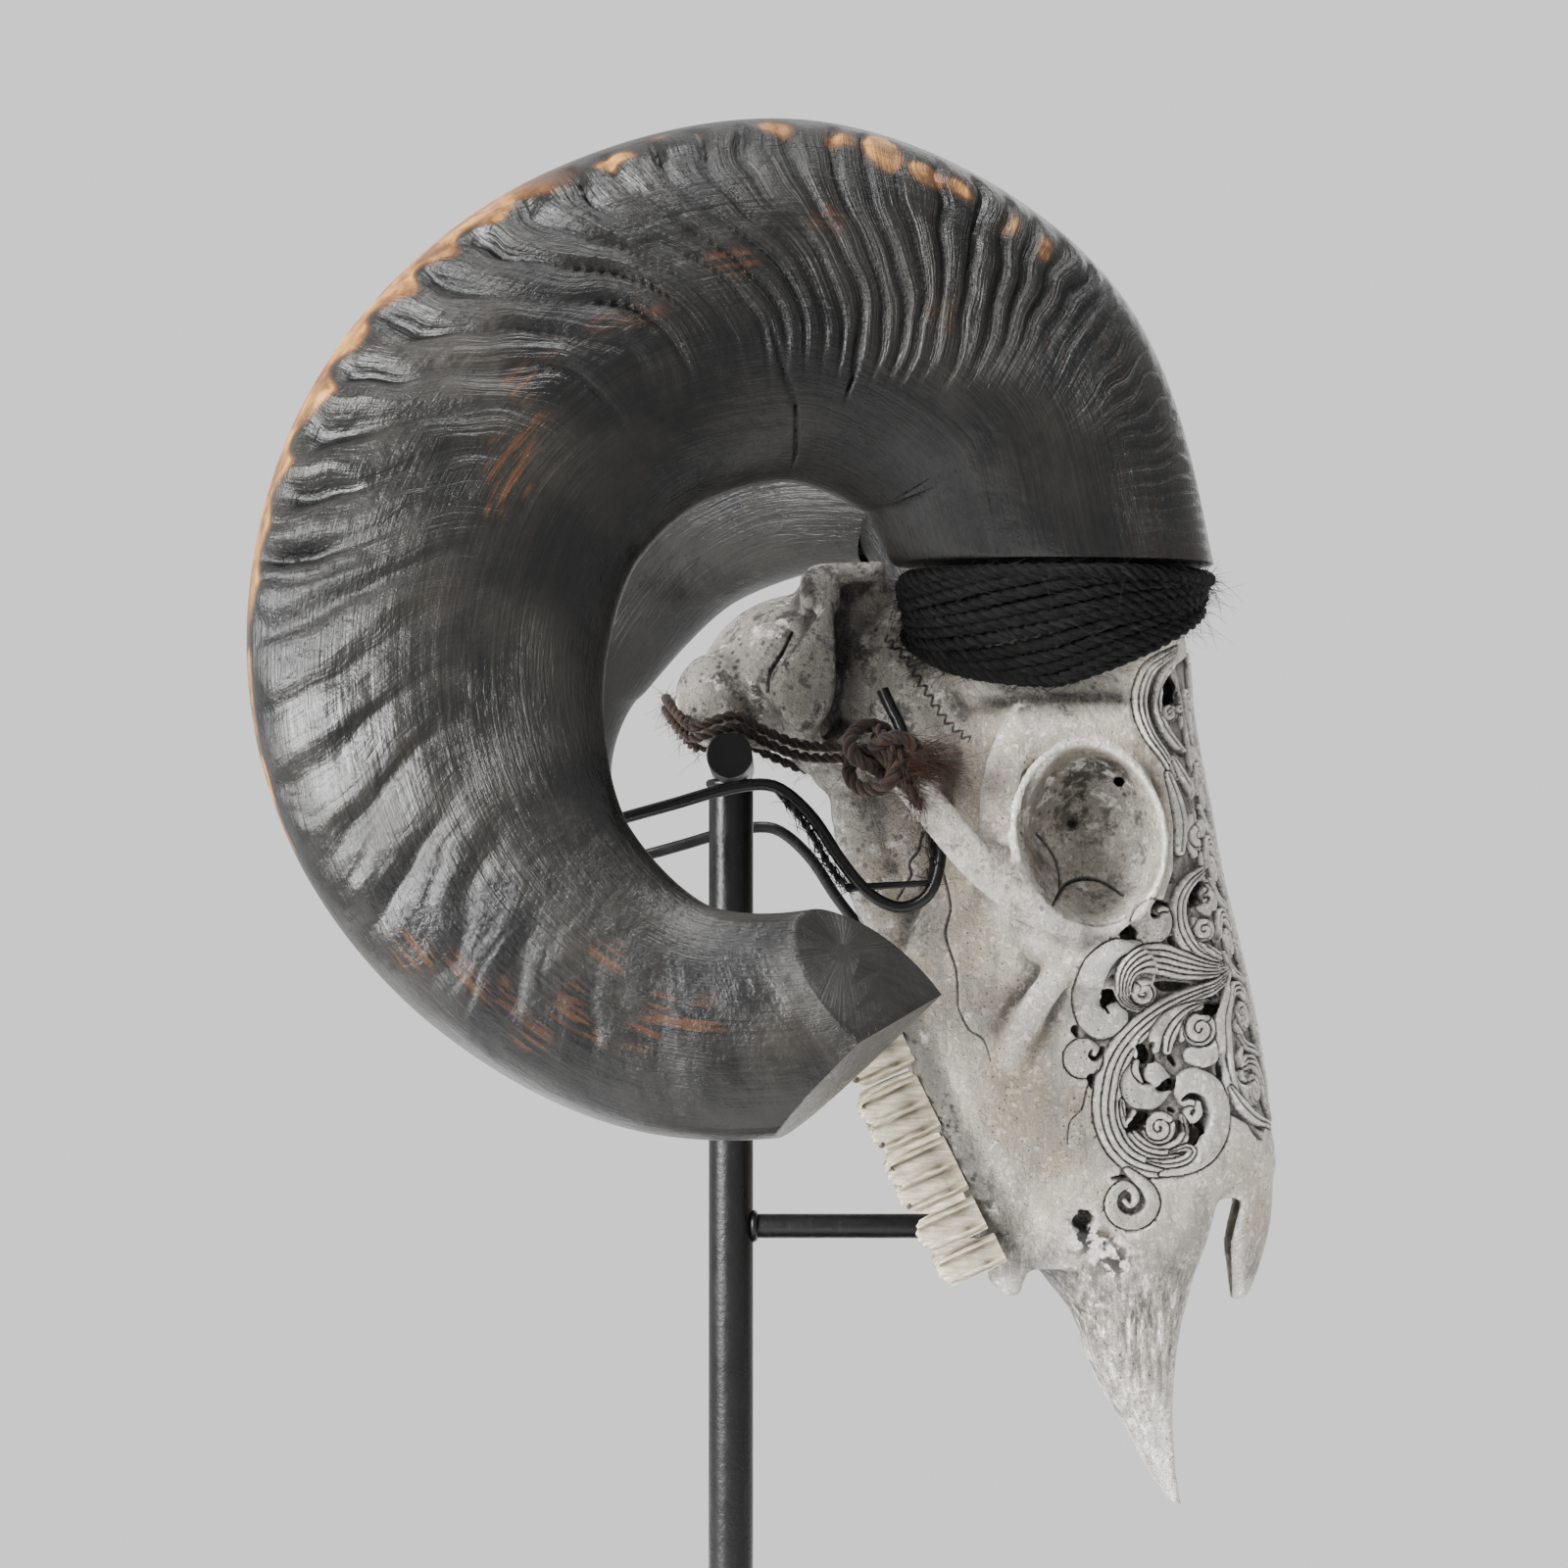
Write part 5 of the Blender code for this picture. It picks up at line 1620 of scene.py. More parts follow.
    def refine(self, bone: bpy.types.Object) -> None:
        """Divides the bone's faces where the carver worked or a crack runs.

        Args:
            bone: the skull's object.
        """
        data = bone.data
        mesh = bmesh.new()
        mesh.from_mesh(data)
        mesh.faces.ensure_lookup_table()
        centres = np.array([f.calc_center_median() for f in mesh.faces]) / MM
        normals = np.array([f.normal for f in mesh.faces])
        drawn = np.stack((centres[:, 0], centres[:, 2]), axis=1)
        outward = normals[:, 1] * np.sign(centres[:, 1]) > -0.05
        outer = outward & (np.abs(centres[:, 1]) > 6)
        chosen = outer & ((field_depth(drawn, FACE_FIELD) > -1) | (draw(drawn, FACE_STROKES, None)[0] != 0))
        ahead = np.stack((np.abs(centres[:, 1]), centres[:, 2]), axis=1)
        chosen |= (normals[:, 0] > 0.5) & (centres[:, 0] > 110) & (field_depth(ahead, FRONT_FIELD) > -2)
        for crack in CRACKS:
            path, _ = crack.path()
            chosen |= outer & (distance_to(drawn, path)[0] < 2.2)
        edges = {e for f, use in zip(mesh.faces, chosen) if use for e in f.edges}
        bmesh.ops.subdivide_edges(mesh, edges=list(edges), cuts=2, use_grid_fill=True)
        mesh.to_mesh(data)
        mesh.free()

    def carve(self, bone: bpy.types.Object) -> None:
        """Sinks the carver's strokes and the cracks, and stores where each look of the bone shows, painted
        shade and highlight among them.

        Args:
            bone: the skull's object.
        """
        data = bone.data
        places, normals = read_points(data), read_normals(data)
        x, y, z = (places / MM).T
        aside = np.abs(y)
        drawn, ahead = np.stack((x, z), axis=1), np.stack((aside, z), axis=1)
        sideways = normals[:, 1] * np.sign(y)
        front = soft_step(normals[:, 0] - sideways, 0.25, 0.6) * (x > 110)
        front *= soft_step(aside, 26, 22)
        facing = soft_step(sideways, -0.15, 0.12) * (aside > 5) * (1 - front)
        depth, dark, carved = np.zeros(len(x)), np.zeros(len(x)), np.zeros(len(x))
        for shown, seen, strokes, field, soft in (
            (facing, drawn, FACE_STROKES, FACE_FIELD, 1.5),
            (front, ahead, FRONT_STROKES, FRONT_FIELD, 1),
            (facing, drawn, CRACKS, None, 0),
        ):
            near = np.flatnonzero(shown > 0)
            inside = field_depth(seen[near], field) if field else None
            height, shade = draw(seen[near], strokes, inside)
            depth[near] += height * shown[near]
            dark[near] += shade * shown[near]
            if field:
                carved[near] = np.maximum(carved[near], soft_step(inside, -soft, soft) * shown[near])
        places = places + normals * (depth * MM)[:, None]
        put_points(data, places)
        normals = read_normals(data)
        # Painted shade: concave places, which lie below their smoothed neighbours, are stored darker.
        bulge = np.zeros(len(x))
        eased = places
        for rounds, weight in ((3, 7000), (16, 1300)):
            eased = neighbours_mean(data, eased, rounds)
            bulge += ((places - eased) * normals).sum(axis=1) * weight
        shade_and_grime = np.clip(-bulge - 0.12, 0, 1)
        row = np.array([(tooth_x - 3, tooth_z) for _, tooth_x, tooth_z, _, _ in TEETH])
        gum = soft_step(distance_to(drawn, row + (9.5, 4.6))[0], 5, 2.4)
        gum *= soft_step(sideways, -0.2, 0.3) * (aside > 12)
        soot = soft_step(np.hypot((x - 90) / 24, (z - 299) / 9), 1.1, 0.4)
        recess_line = np.array(((30, 326), (31, 312), (31, 300), (34, 284)))
        recess = soft_step(distance_to(drawn, recess_line)[0], 6, 2) * (aside > 12)
        eye_x, _, eye_z = self.orbit
        socket = soft_step(np.hypot((x - eye_x) / 19, (z - eye_z) / 24.5), 1.02, 0.9)
        socket *= (aside > 18) & (sideways > -0.5)
        # Partly painted shade, in the carving's sunk ground, grooves and holes and in concave places; partly
        # real grime at the gums and soot on the brow; also darkening along the recess.
        shade_and_grime = np.clip(dark + (0.85 - 0.7 * socket) * shade_and_grime + 0.5 * gum + 0.3 * soot + 0.2 * recess, 0, 1)
        occiput = soft_step(x, 36, 26) * soft_step(z, 282, 290)
        temple = soft_step(x, 72, 60) * soft_step(z, 255, 275)
        rear = soft_step(x, 66, 52) * soft_step(z, 215, 235)
        arch_line = np.array([(arch_x, arch_z) for arch_x, _, arch_z in ARCH_PATH])
        arch = soft_step(distance_to(drawn, arch_line)[0], 9, 5) * (aside > 44)
        # Grey and stains in the eye socket, heavier towards its top: partly real stains, partly painted shade
        # under the brow.
        high = soft_step(z, eye_z - 4, eye_z + 14)
        shaded = (0.55 + 0.4 * high) * socket
        rough = (gum, occiput, 0.8 * temple, soot, 0.7 * rear, shaded, recess, 0.5 * arch)
        chipped = soft_step(distance_to(drawn, np.array(((98, 148), (103, 145.5), (107, 142))))[0], 6, 3)
        inner = soft_step(sideways, -0.25, -0.5) * (aside > 3) * soft_step(z, 190, 175)
        for name, values in {
            "shade_and_grime": shade_and_grime,
            # Convex places away from the grooves: rubbed pale, and a painted highlight.
            "edge": np.clip(bulge * 0.6 - 0.05, 0, 0.9) * np.clip(1 - 1.5 * dark, 0, 1),
            "carved": carved,
            "rough": np.clip(np.max(rough, axis=0), 0, 1),
            "broken": chipped * soft_step(sideways, 0.1, 0.4),
            "streaked": soft_step(z, 156, 128),
            "inner": inner * (x > 110),
        }.items():
            paint(data, name, values)

    def thin(self, bone: bpy.types.Object) -> None:
        """Thins the mesh down to the most triangles that a piece may have.

        Args:
            bone: the skull's object.
        """
        count = sum(len(p.vertices) - 2 for p in bone.data.polygons)
        step = bone.modifiers.new("thin", "DECIMATE")
        step.ratio = min(1, self.most_triangles / count)
        worked(bone)

    def build(self, bone_finish: bpy.types.Material) -> None:
        """Makes the whole bone.

        Args:
            bone_finish: the bone's material.
        """
        bone = self.fuse()
        log.info("bone fused: %d faces", len(bone.data.polygons))
        self.refine(bone)
        log.info("bone refined: %d faces", len(bone.data.polygons))
        self.carve(bone)
        self.thin(bone)
        hand_over(bone, "skull", "bone", bone_finish, crease=75)


def distance_to(drawn: np.ndarray, path: np.ndarray) -> tuple[np.ndarray, np.ndarray, np.ndarray]:
    """Measures how far points lie from a path on the drawing.

    Args:
        drawn: the points.
        path: the path's points.

    Returns:
        The distance, the share of the path walked, and which side of it each point is on.
    """
    best = np.full(len(drawn), np.inf)
    share = np.zeros(len(drawn))
    side = np.zeros(len(drawn))
    count = len(path) - 1
    for k in range(count):
        start, step = path[k], path[k + 1] - path[k]
        length = max(step @ step, 1e-9)
        offset = drawn - start
        t = np.clip(offset @ step / length, 0, 1)
        gap = np.hypot(offset[:, 0] - t * step[0], offset[:, 1] - t * step[1])
        closer = gap < best
        best = np.where(closer, gap, best)
        share = np.where(closer, (k + t) / count, share)
        turned = np.sign(step[0] * offset[:, 1] - step[1] * offset[:, 0])
        side = np.where(closer, turned, side)
    return best, share, side


def field_depth(drawn: np.ndarray, field: Sequence[Spot]) -> np.ndarray:
    """Measures how deep points lie inside a closed outline, less than 0 outside it.

    Args:
        drawn: the points.
        field: the outline's corners.

    Returns:
        The depth of each point.
    """
    corners = np.array(field, dtype=float)
    ring = np.concatenate((corners, corners[:1]))
    gap = distance_to(drawn, ring)[0]
    inside = np.zeros(len(drawn), dtype=bool)
    for a, b in zip(ring, ring[1:]):
        spans = (a[1] > drawn[:, 1]) != (b[1] > drawn[:, 1])
        rise = b[1] - a[1] if b[1] != a[1] else 1e-9
        crossing = a[0] + (drawn[:, 1] - a[1]) * (b[0] - a[0]) / rise
        inside ^= spans & (drawn[:, 0] < crossing)
    return np.where(inside, gap, -gap)


def draw(
    drawn: np.ndarray, strokes: Sequence[Stroke], inside: np.ndarray | None
) -> tuple[np.ndarray, np.ndarray]:
    """Works out the carved height under a drawing, later strokes lying over earlier ones.

    Args:
        drawn: the points on the drawing.
        strokes: the strokes in order.
        inside: how deep each point is inside the carved field, or None where there is no sunk ground.

    Returns:
        The height in millimetres and the darkness of each point, which is painted shade in the sunk ground,
        grooves and holes.
    """
    ground = 1.1
    border = 0.32
    height = np.zeros(len(drawn))
    dark = np.zeros(len(drawn))
    # Painted shade: the sunk ground between the forms is darkened.
    if inside is not None:
        sunk = soft_step(inside, 0.3, 1.0)
        height -= ground * sunk
        dark += 0.55 * sunk
    for stroke in strokes:
        path, widths = stroke.path()
        reach = max(widths) + border + 0.4
        low, high = path.min(axis=0) - reach, path.max(axis=0) + reach
        near = np.flatnonzero(((drawn > low) & (drawn < high)).all(axis=1))
        if not len(near):
            continue
        gap, share, side = distance_to(drawn[near], path)
        width = np.interp(share, np.linspace(0, 1, len(widths)), widths)
        across = np.clip(gap / np.maximum(width, 0.05), 0, 1)
        if stroke.kind is Cut.RAISED:
            within = soft_step(gap - width, 0.16, -0.16)
            rim = soft_step(gap - width, border + 0.22, border - 0.12) * (1 - within)
            dome = 0.2 + np.minimum(0.42 * width, 1.9) * (np.sqrt(1 - across**2) - 0.5)
            strand = (across * side + 1) / 2 * (stroke.ribs + 1)
            if stroke.ribs:
                from_line = np.abs(strand - np.clip(np.round(strand), 1, stroke.ribs))
                from_line = from_line * 2 * width / (stroke.ribs + 1)
                line = soft_step(from_line, 0.42, 0.08)
                dome += 0.4 * np.abs(np.sin(math.pi * strand)) ** 0.7 - 0.75 * line
            else:
                line = np.zeros(len(near))
            height[near] = height[near] * (1 - within - rim) + dome * within - stroke.depth * rim
            # Painted shade in the rib lines and in the groove round each form.
            dark[near] = dark[near] * (1 - within - rim) + 0.4 * line * within + 0.8 * rim
        elif stroke.kind is Cut.GROOVE:
            inner = soft_step(gap - width, 0.22, -0.22)
            height[near] -= stroke.depth * inner
            dark[near] = np.maximum(dark[near], 0.95 * inner)
        else:
            inner = soft_step(gap - width, 0.3, -0.3)
            height[near] = height[near] * (1 - inner) - stroke.depth * inner
            dark[near] = np.maximum(dark[near], inner)
    return height, dark


# How wide a tooth is at a share of its crown's height, and then at depths below the top of its worn face.
CROWN_SIDES = ((0.3, 0.99), (0.6, 0.99), (0.85, 0.975))
CROWN_TOP = (
    (0.4, 0.95), (0, 0.9), (0.1, 0.82), (0.9, 0.72), (1.1, 0.5), (0.4, 0.36), (0.5, 0.26), (1.6, 0.16),
    (1.8, 0.05),
)


@dataclass
class Tooth:
    """One cheek tooth: a fluted prism with an enamel rim round its worn crown."""

    side: Side
    name: str
    x: float
    z: float
    length: float
    lobes: int
    row_y: float = 27.5
    half_depth: float = 7
    root: float = 5
    crown: float = 13
    row_way: Place = (0.44, 0, -0.898)
    crown_way: Place = (-0.91, 0, -0.41)

    def column(self, along: float) -> float:
        """How far the outer face stands out along the row: sharp ridges beside dished panels.

        Args:
            along: the distance from the tooth's middle.

        Returns:
            The height there, about 1 on a ridge.
        """
        share = min(max(along / self.length + 0.5, 0), 1) * self.lobes
        ridge = sum(math.exp(-(((share - k) / 0.09) ** 2)) for k in (0.14, 1, self.lobes - 0.14))
        end = min(share, self.lobes - share)
        panel = math.exp(-(((share % 1 - 0.5) / 0.2) ** 2))
        return min(ridge, 1) - 0.5 * math.exp(-((end / 0.07) ** 2)) + 0.2 * panel

    def scallop(self, along: float) -> float:
        """How far the worn crown stands up at a distance along the row, in a wave for each lobe."""
        wave = abs(math.sin(math.pi * self.lobes * (along / self.length + 0.5)))
        return 2.2 * wave - 1.5 + 0.3 * math.sin(3 * along)

    def outline(self) -> list[Spot]:
        """The tooth's outline across its height, along the row and outwards.

        Returns:
            Its points, as distances along the row and outwards.
        """
        half, deep = self.length / 2 + 0.3, self.half_depth
        outer, inner = [], []
        for k in range(65):
            share = k / 64
            along = half * (2 * share - 1)
            outer.append((along, deep * (0.66 + 0.33 * self.column(along))))
            fold = abs(math.sin(math.pi * self.lobes * share)) ** 0.6
            inner.append((half * (1 - 2 * share) * 0.94, -deep * (0.74 + 0.26 * fold)))
        return outer + inner

    def build(self, ivory: bpy.types.Material) -> None:
        """Makes the tooth.

        Args:
            ivory: its material.
        """
        row = Vector(self.row_way)
        up = Vector(self.crown_way).normalized()
        middle = Vector((self.x, self.row_y * self.side.value, self.z))
        shape = self.outline()
        crown = self.crown
        levels = [(-self.root, 0.96), (0, 1.0)]
        levels += [(crown * share, scale) for share, scale in CROWN_SIDES]
        levels += [(crown - sink, scale) for sink, scale in CROWN_TOP]
        rings = []
        for reach, scale in levels:
            wave = 0.5 * math.sin(self.x + reach)
            rings.append([
                middle + up * (reach + (self.scallop(u) if reach > crown * 0.8 else 0))
                + row * (u * scale + 0.1 * wave) + Vector((0, self.side.value * v * scale, 0))
                for u, v in shape
            ])
        mesh = bmesh.new()
        loft(mesh, rings)
        obj = make_object(f"{self.side.word}_{self.name}_tooth", mesh)
        data = obj.data
        places, normals = read_points(data), read_normals(data)
        eased = neighbours_mean(data, places, 6)
        bulge = ((places - eased) * normals).sum(axis=1)
        height = (places / MM - np.array(middle)) @ np.array(up)
        # Painted shade in the flutes and in the gaps between teeth, with a stained band at the gum and a
        # faint darkening all over.
        gum = soft_step(height, 3.4, 0.6) * 0.7
        along = (places / MM - np.array(middle)) @ np.array(row)
        gap = soft_step(np.abs(along), self.length / 2 - 0.5, self.length / 2 - 0.1)
        paint(data, "shade_and_grime", np.clip(-bulge * 6000 + 0.22 + gum + 0.9 * gap, 0, 1))
        hand_over(obj, f"tooth_{self.side.word}_{self.name}", "tooth_enamel", ivory, crease=50)


def spotted(
    spots: Sequence[Row], turn: np.ndarray, inside: np.ndarray, sway: Sequence[np.ndarray],
    low: float, high: float,
) -> np.ndarray:
    """Shows how far points lie in any of some soft spots on a horn.

    Args:
        spots: turn, distance in and the two half sizes of each.
        turn: each point's turn round the hub in degrees.
        inside: its distance in from the outer edge.
        sway: two fields that make the spots uneven.
        low: where a spot begins.
        high: where it is full.

    Returns:
        The share of each point.
    """
    shown = np.zeros(turn.shape)
    for at, deep_in, half_turn, half_in in spots:
        spot = ((turn - at) / half_turn) ** 2 + ((inside - deep_in) / half_in) ** 2 + sway[0] + sway[1]
        shown = np.maximum(shown, soft_step(spot, low, high))
    return shown


@dataclass
class Horn:
    """A horn sheath: ridged, silky along its growth, and sawn off with two cuts."""

    side: Side
    hub: Place = (5, 0, 300)
    first_turn: float = 22
    last_turn: float = 318
    level_share: float = 0.08
    rings: int = 760
    sides: int = 116
    end_rings: int = 170

    def stations(self) -> list[list[float]]:
        """The horn's stations as x, distance from the midline, z, the two half sizes, reach and turn.

        Returns:
            One row for each station.
        """
        made = []
        for k, (reach, deep, thick, aside) in enumerate(HORN_STATIONS):
            turn = self.first_turn + (self.last_turn - self.first_turn) * k / (len(HORN_STATIONS) - 1)
            if self.side is Side.LEFT:
                reach += LEFT_CHANGES[k][0]
                deep += LEFT_CHANGES[k][1]
            x = self.hub[0] + reach * math.cos(math.radians(turn))
            z = self.hub[2] + reach * math.sin(math.radians(turn))
            made.append([x, aside, z, deep, thick, reach, turn])
        return made

    def frames(self) -> tuple[np.ndarray, ...]:
        """Gives the centre line, its outward and sideways directions, and the rows read from the stations.

        Returns:
            Four arrays with a row for each ring.
        """
        rows = np.array(between(self.stations(), self.rings))
        centres = rows[:, :3] * (1, -1, 1)
        index = np.arange(self.rings)
        along = centres[np.minimum(index + 5, self.rings - 1)] - centres[np.maximum(index - 5, 0)]
        along /= np.linalg.norm(along, axis=1, keepdims=True)
        near_root = np.clip(1 - index / (self.level_share * self.rings), 0, 1)[:, None]
        along = along * (1 - near_root) + np.array((0, 0, 1)) * near_root
        along /= np.linalg.norm(along, axis=1, keepdims=True)
        out = (centres - np.array(self.hub)) * (1, 0, 1)
        out -= along * (out * along).sum(axis=1, keepdims=True)
        out /= np.linalg.norm(out, axis=1, keepdims=True)
        lateral = np.cross(along, out)
        lateral *= -np.sign(lateral[:, 1:2])
        return centres, out, lateral, rows

    def relief(
        self, turn: np.ndarray, around: np.ndarray, inside: np.ndarray, reach: np.ndarray
    ) -> dict[str, np.ndarray]:
        """Works out the growth ridges and what they colour.

        Args:
            turn: each point's turn round the hub in degrees.
            around: its direction round the horn, 0 being the outer edge.
            inside: its distance in from the outer edge.
            reach: the outer edge's distance from the hub.

        Returns:
            Each point's height in millimetres, its count of ridges, its painted shade in dimples, cracks and
            creases, and how worn, reddened and ridged it is.
        """
        seed = 40.0 * self.side.value
        coarse, wiggle = (
            np.array([
                noise.noise(Vector((t / along + seed, across * math.cos(a), across * math.sin(a))))
                for t, a in zip(turn.ravel(), around.ravel())
            ]).reshape(turn.shape)
            for along, across in ((9, 1.2), (5, 4.5))
        )
        fine_turn = np.linspace(0, 360, 1441)
        edge = np.interp(fine_turn, turn[:, 0], reach[:, 0])
        phase_at = np.cumsum(edge * math.radians(0.25) / np.interp(fine_turn, RIDGE_TURNS, RIDGE_SPACING))
        lean = np.interp(turn, (22, 57, 80, 108, 165, 318), (1, 4, 9, 18, 13, 10))
        depth_in = np.clip(inside / 70, 0, 1)
        bent = turn + lean * (depth_in - 0.22 * np.sin(depth_in * math.pi * 2)) + 2.0 * coarse + 0.9 * wiggle
        phase = np.interp(bent, fine_turn, phase_at)
        lateral = np.sin(around) > 0
        far_in = np.interp(turn, (22, 50, 66, 120, 165, 318), (30, 36, 80, 80, 66, 54))
        fade = np.where(lateral, soft_step(inside, far_in, far_in * 0.35), soft_step(inside, 46, 14))
        start_in = np.interp(turn, (30, 60, 110, 170, 230), (2.5, 6, 7, 5.5, 6))
        rim = soft_step(inside, start_in * 0.45, start_in * 1.5)
        frac = (phase + 0.5) % 1 - 0.5
        crease = np.exp(-((frac / np.interp(turn, (40, 66, 110), (0.24, 0.15, 0.12))) ** 2))
        ramp = phase % 1
        ledge = ramp**1.5 * soft_step(ramp, 1.0, 0.72) - 0.3
        fold = np.cos(FULL_TURN * phase) + 0.35 * np.cos(FULL_TURN * 2 * phase + 1.2)
        minor = (2.6 * phase + 1.2 * coarse + 0.5) % 1 - 0.5
        small = np.exp(-((minor / 0.16) ** 2)) * soft_step(coarse, -0.35, 0.15)
        ledge_size, fold_size, crease_size, small_size = (
            np.interp(turn, RIDGE_TURNS, sizes) for sizes in (LEDGES, FOLDS, CREASES, SMALL_CREASES)
        )
        shape = fade * rim
        height = shape * (ledge_size * ledge - fold_size * fold - crease_size * crease - small_size * small)
        height *= np.clip(1 + 1.3 * coarse, 0.15, 1.9)
        height += shape * 0.15 * wiggle
        dimple_zone = soft_step(turn, 110, 119) * soft_step(turn, 176, 164)
        deep_from = 8.0 + 2 * coarse
        dimple = np.exp(-((frac / 0.21) ** 2)) * soft_step(inside - deep_from, -1.2, 2.2)
        dimple *= soft_step(inside, 26, 15) * dimple_zone
        height -= 2.9 * dimple
        wave = soft_step(turn, 107, 116) * soft_step(turn, 182, 168)
        strip = 7.6 - 2.4 * np.cos(FULL_TURN * phase) + 3.0 * coarse + 1.5 * wiggle
        strip *= np.interp(turn, (105, 125, 150, 165, 182), (1, 1.15, 0.95, 0.6, 0.3))
        medial = np.where(lateral, 1.0, 0.7)
        worn = wave * soft_step(inside - strip * medial, 1.2, -1.0)
        bare = spotted(WORN_SPOTS, turn, inside, (1.6 * coarse, 1.2 * wiggle), 1.3, 0.35)
        worn = np.maximum(worn, lateral * bare)
        reddened = lateral * spotted(RED_SPOTS, turn, inside, (1.5 * coarse, 1.5 * wiggle), 1.7, 0.2)
        brown_crest = 0.45 * shape * soft_step(ramp, 0.5, 0.85) * soft_step(turn, 62, 50)
        brown_crest = brown_crest * soft_step(inside, 40, 30)
        reddened = np.maximum(reddened, lateral * brown_crest)
        crack = np.zeros(turn.shape)
        for at, lean_in, first, last in HORN_CRACKS:
            line = np.abs(turn - at - lean_in * (inside - first) / 36 + 0.8 * wiggle)
            here = soft_step(inside, first - 2, first) * soft_step(inside, last, last - 4) * lateral
            crack = np.maximum(crack, soft_step(line, 0.7, 0.15) * here)
        height -= 0.9 * crack
        # Painted shade: dimples, cracks and creases are darkened.
        shade_and_grime = np.clip(dimple + crack + 0.8 * shape * crease * crease_size * (1 - worn), 0, 1)
        lined_in = np.interp(turn, (40, 66, 120), (36, 74, 80))
        ridged = rim * soft_step(inside, lined_in, lined_in * 0.5)
        ridged *= np.interp(turn, (30, 60, 125, 170, 250), (0.3, 1, 1, 0.3, 0.1))
        return {
            "height": height, "phase": phase,
            "shade_and_grime": shade_and_grime, "worn": worn, "reddened": reddened, "ridged": ridged,
        }

    def saw(self, mesh: Mesh, end: list[bmesh.types.BMVert]) -> None:
        """Saws the horn's end off with two cuts and fills each cut with a facet.

        Args:
            mesh: the horn's mesh.
            end: the vertices of its last rings.
        """
        for facet, (point, away) in enumerate(HORN_CUTS, start=1):
            where = Vector((point[0], point[1] * self.side.value, point[2])) * MM
            outward = Vector((away[0], away[1] * self.side.value, away[2])).normalized()
            end = [v for v in end if v.is_valid]
            faces = {face for vert in end for face in vert.link_faces}
            edges = {edge for face in faces for edge in face.edges}
            verts = {vert for face in faces for vert in face.verts}
            made = bmesh.ops.bisect_plane(
                mesh, geom=[*verts, *edges, *faces], plane_co=where, plane_no=outward, clear_outer=True
            )
            rim = [e for e in made["geom_cut"] if isinstance(e, bmesh.types.BMEdge)]
            end += [v for v in made["geom_cut"] if isinstance(v, bmesh.types.BMVert)]
            for face in bmesh.ops.contextual_create(mesh, geom=rim)["faces"]:
                face.material_index = facet

    def hollow_end(self, mesh: Mesh) -> None:
        """Sinks the middle of each sawn facet below its rim in a few steps.

        Args:
            mesh: the horn's mesh.
        """
        for facet, depth in ((1, 1.3), (2, 0.9)):
            face = next(f for f in mesh.faces if f.material_index == facet)
            away = face.normal.copy()
            middle = face.calc_center_median()
            for shrink, sink in ((0.9, 0.12), (0.75, 0.3), (0.6, 0.3), (0.45, 0.28)):
                made = bmesh.ops.extrude_discrete_faces(mesh, faces=[face])["faces"]
                face = made[0]
                for vert in face.verts:
                    vert.co = middle + (vert.co - middle) * shrink - away * depth * sink * MM
            bmesh.ops.poke(mesh, faces=[face])
        bmesh.ops.recalc_face_normals(mesh, faces=mesh.faces)

    def build(
        self, horn: bpy.types.Material, hollowed: bpy.types.Material, fibrous: bpy.types.Material
    ) -> None:
        """Makes the horn.

        Args:
            horn: its outer finish.
            hollowed: the finish of the upper sawn facet.
            fibrous: the finish of the lower sawn facet.
        """
        centres, out, lateral, rows = self.frames()
        even = np.arange(self.sides) * FULL_TURN / self.sides
        around = even - 0.45 * np.sin(even - 1.2) + 0.45 * math.sin(-1.2)
        keel = 0.08 * np.exp(-(((around - 0.72) / 0.4) ** 2))
        flat_inside = 0.07 * np.exp(-(((around - 4.7) / 0.9) ** 2))
        shape = (1 + keel - flat_inside)[None, :]
        deep, thick = rows[:, 3:4], rows[:, 4:5]
        turn = np.broadcast_to(rows[:, 6:7], (self.rings, self.sides))
        full_around = np.broadcast_to(around, (self.rings, self.sides))
        inside = deep * (1 - np.cos(around)[None, :])
        edge = np.broadcast_to(rows[:, 5:6] + deep, (self.rings, self.sides))
        made = self.relief(turn, full_around, inside, edge)
        share = np.linspace(0, 1, self.rings)[:, None]
        height = made["height"] * np.clip(9 * share, 0, 1)
        flat = (deep * shape + height) * np.cos(around)
        aside = (thick * shape + height) * np.sin(around)
        places = centres[:, None] + out[:, None] * flat[..., None] + lateral[:, None] * aside[..., None]
        places[..., 1] *= -self.side.value
        mesh = bmesh.new()
        layers = {key: mesh.verts.layers.float.new(key) for key in ("shade_and_grime", "worn", "reddened", "ridged")}
        spaces = {key: mesh.verts.layers.float_vector.new(key) for key in ("grain", "growth")}
        kept = wrap_grid(mesh, places * MM)
        steps = np.linalg.norm(np.diff(centres, axis=0), axis=1)
        walked = np.concatenate(((0,), np.cumsum(steps)))[:, None]
        made["grain"] = np.stack((np.broadcast_to(walked, flat.shape), flat, aside), axis=-1) * MM
        made["growth"] = np.stack((made["phase"], inside / 10, aside / 10), axis=-1)
        for key, layer in layers.items():
            store(kept, layer, made[key].ravel())
        for key, layer in spaces.items():
            store(kept, layer, made[key].reshape(-1, 3))
        self.saw(mesh, kept[-self.sides * self.end_rings :])
        self.hollow_end(mesh)
        obj = make_object(f"{self.side.word}_horn", mesh)
        hand_over(obj, f"horn_{self.side.word}", "horn", horn, hollowed, fibrous, crease=60)


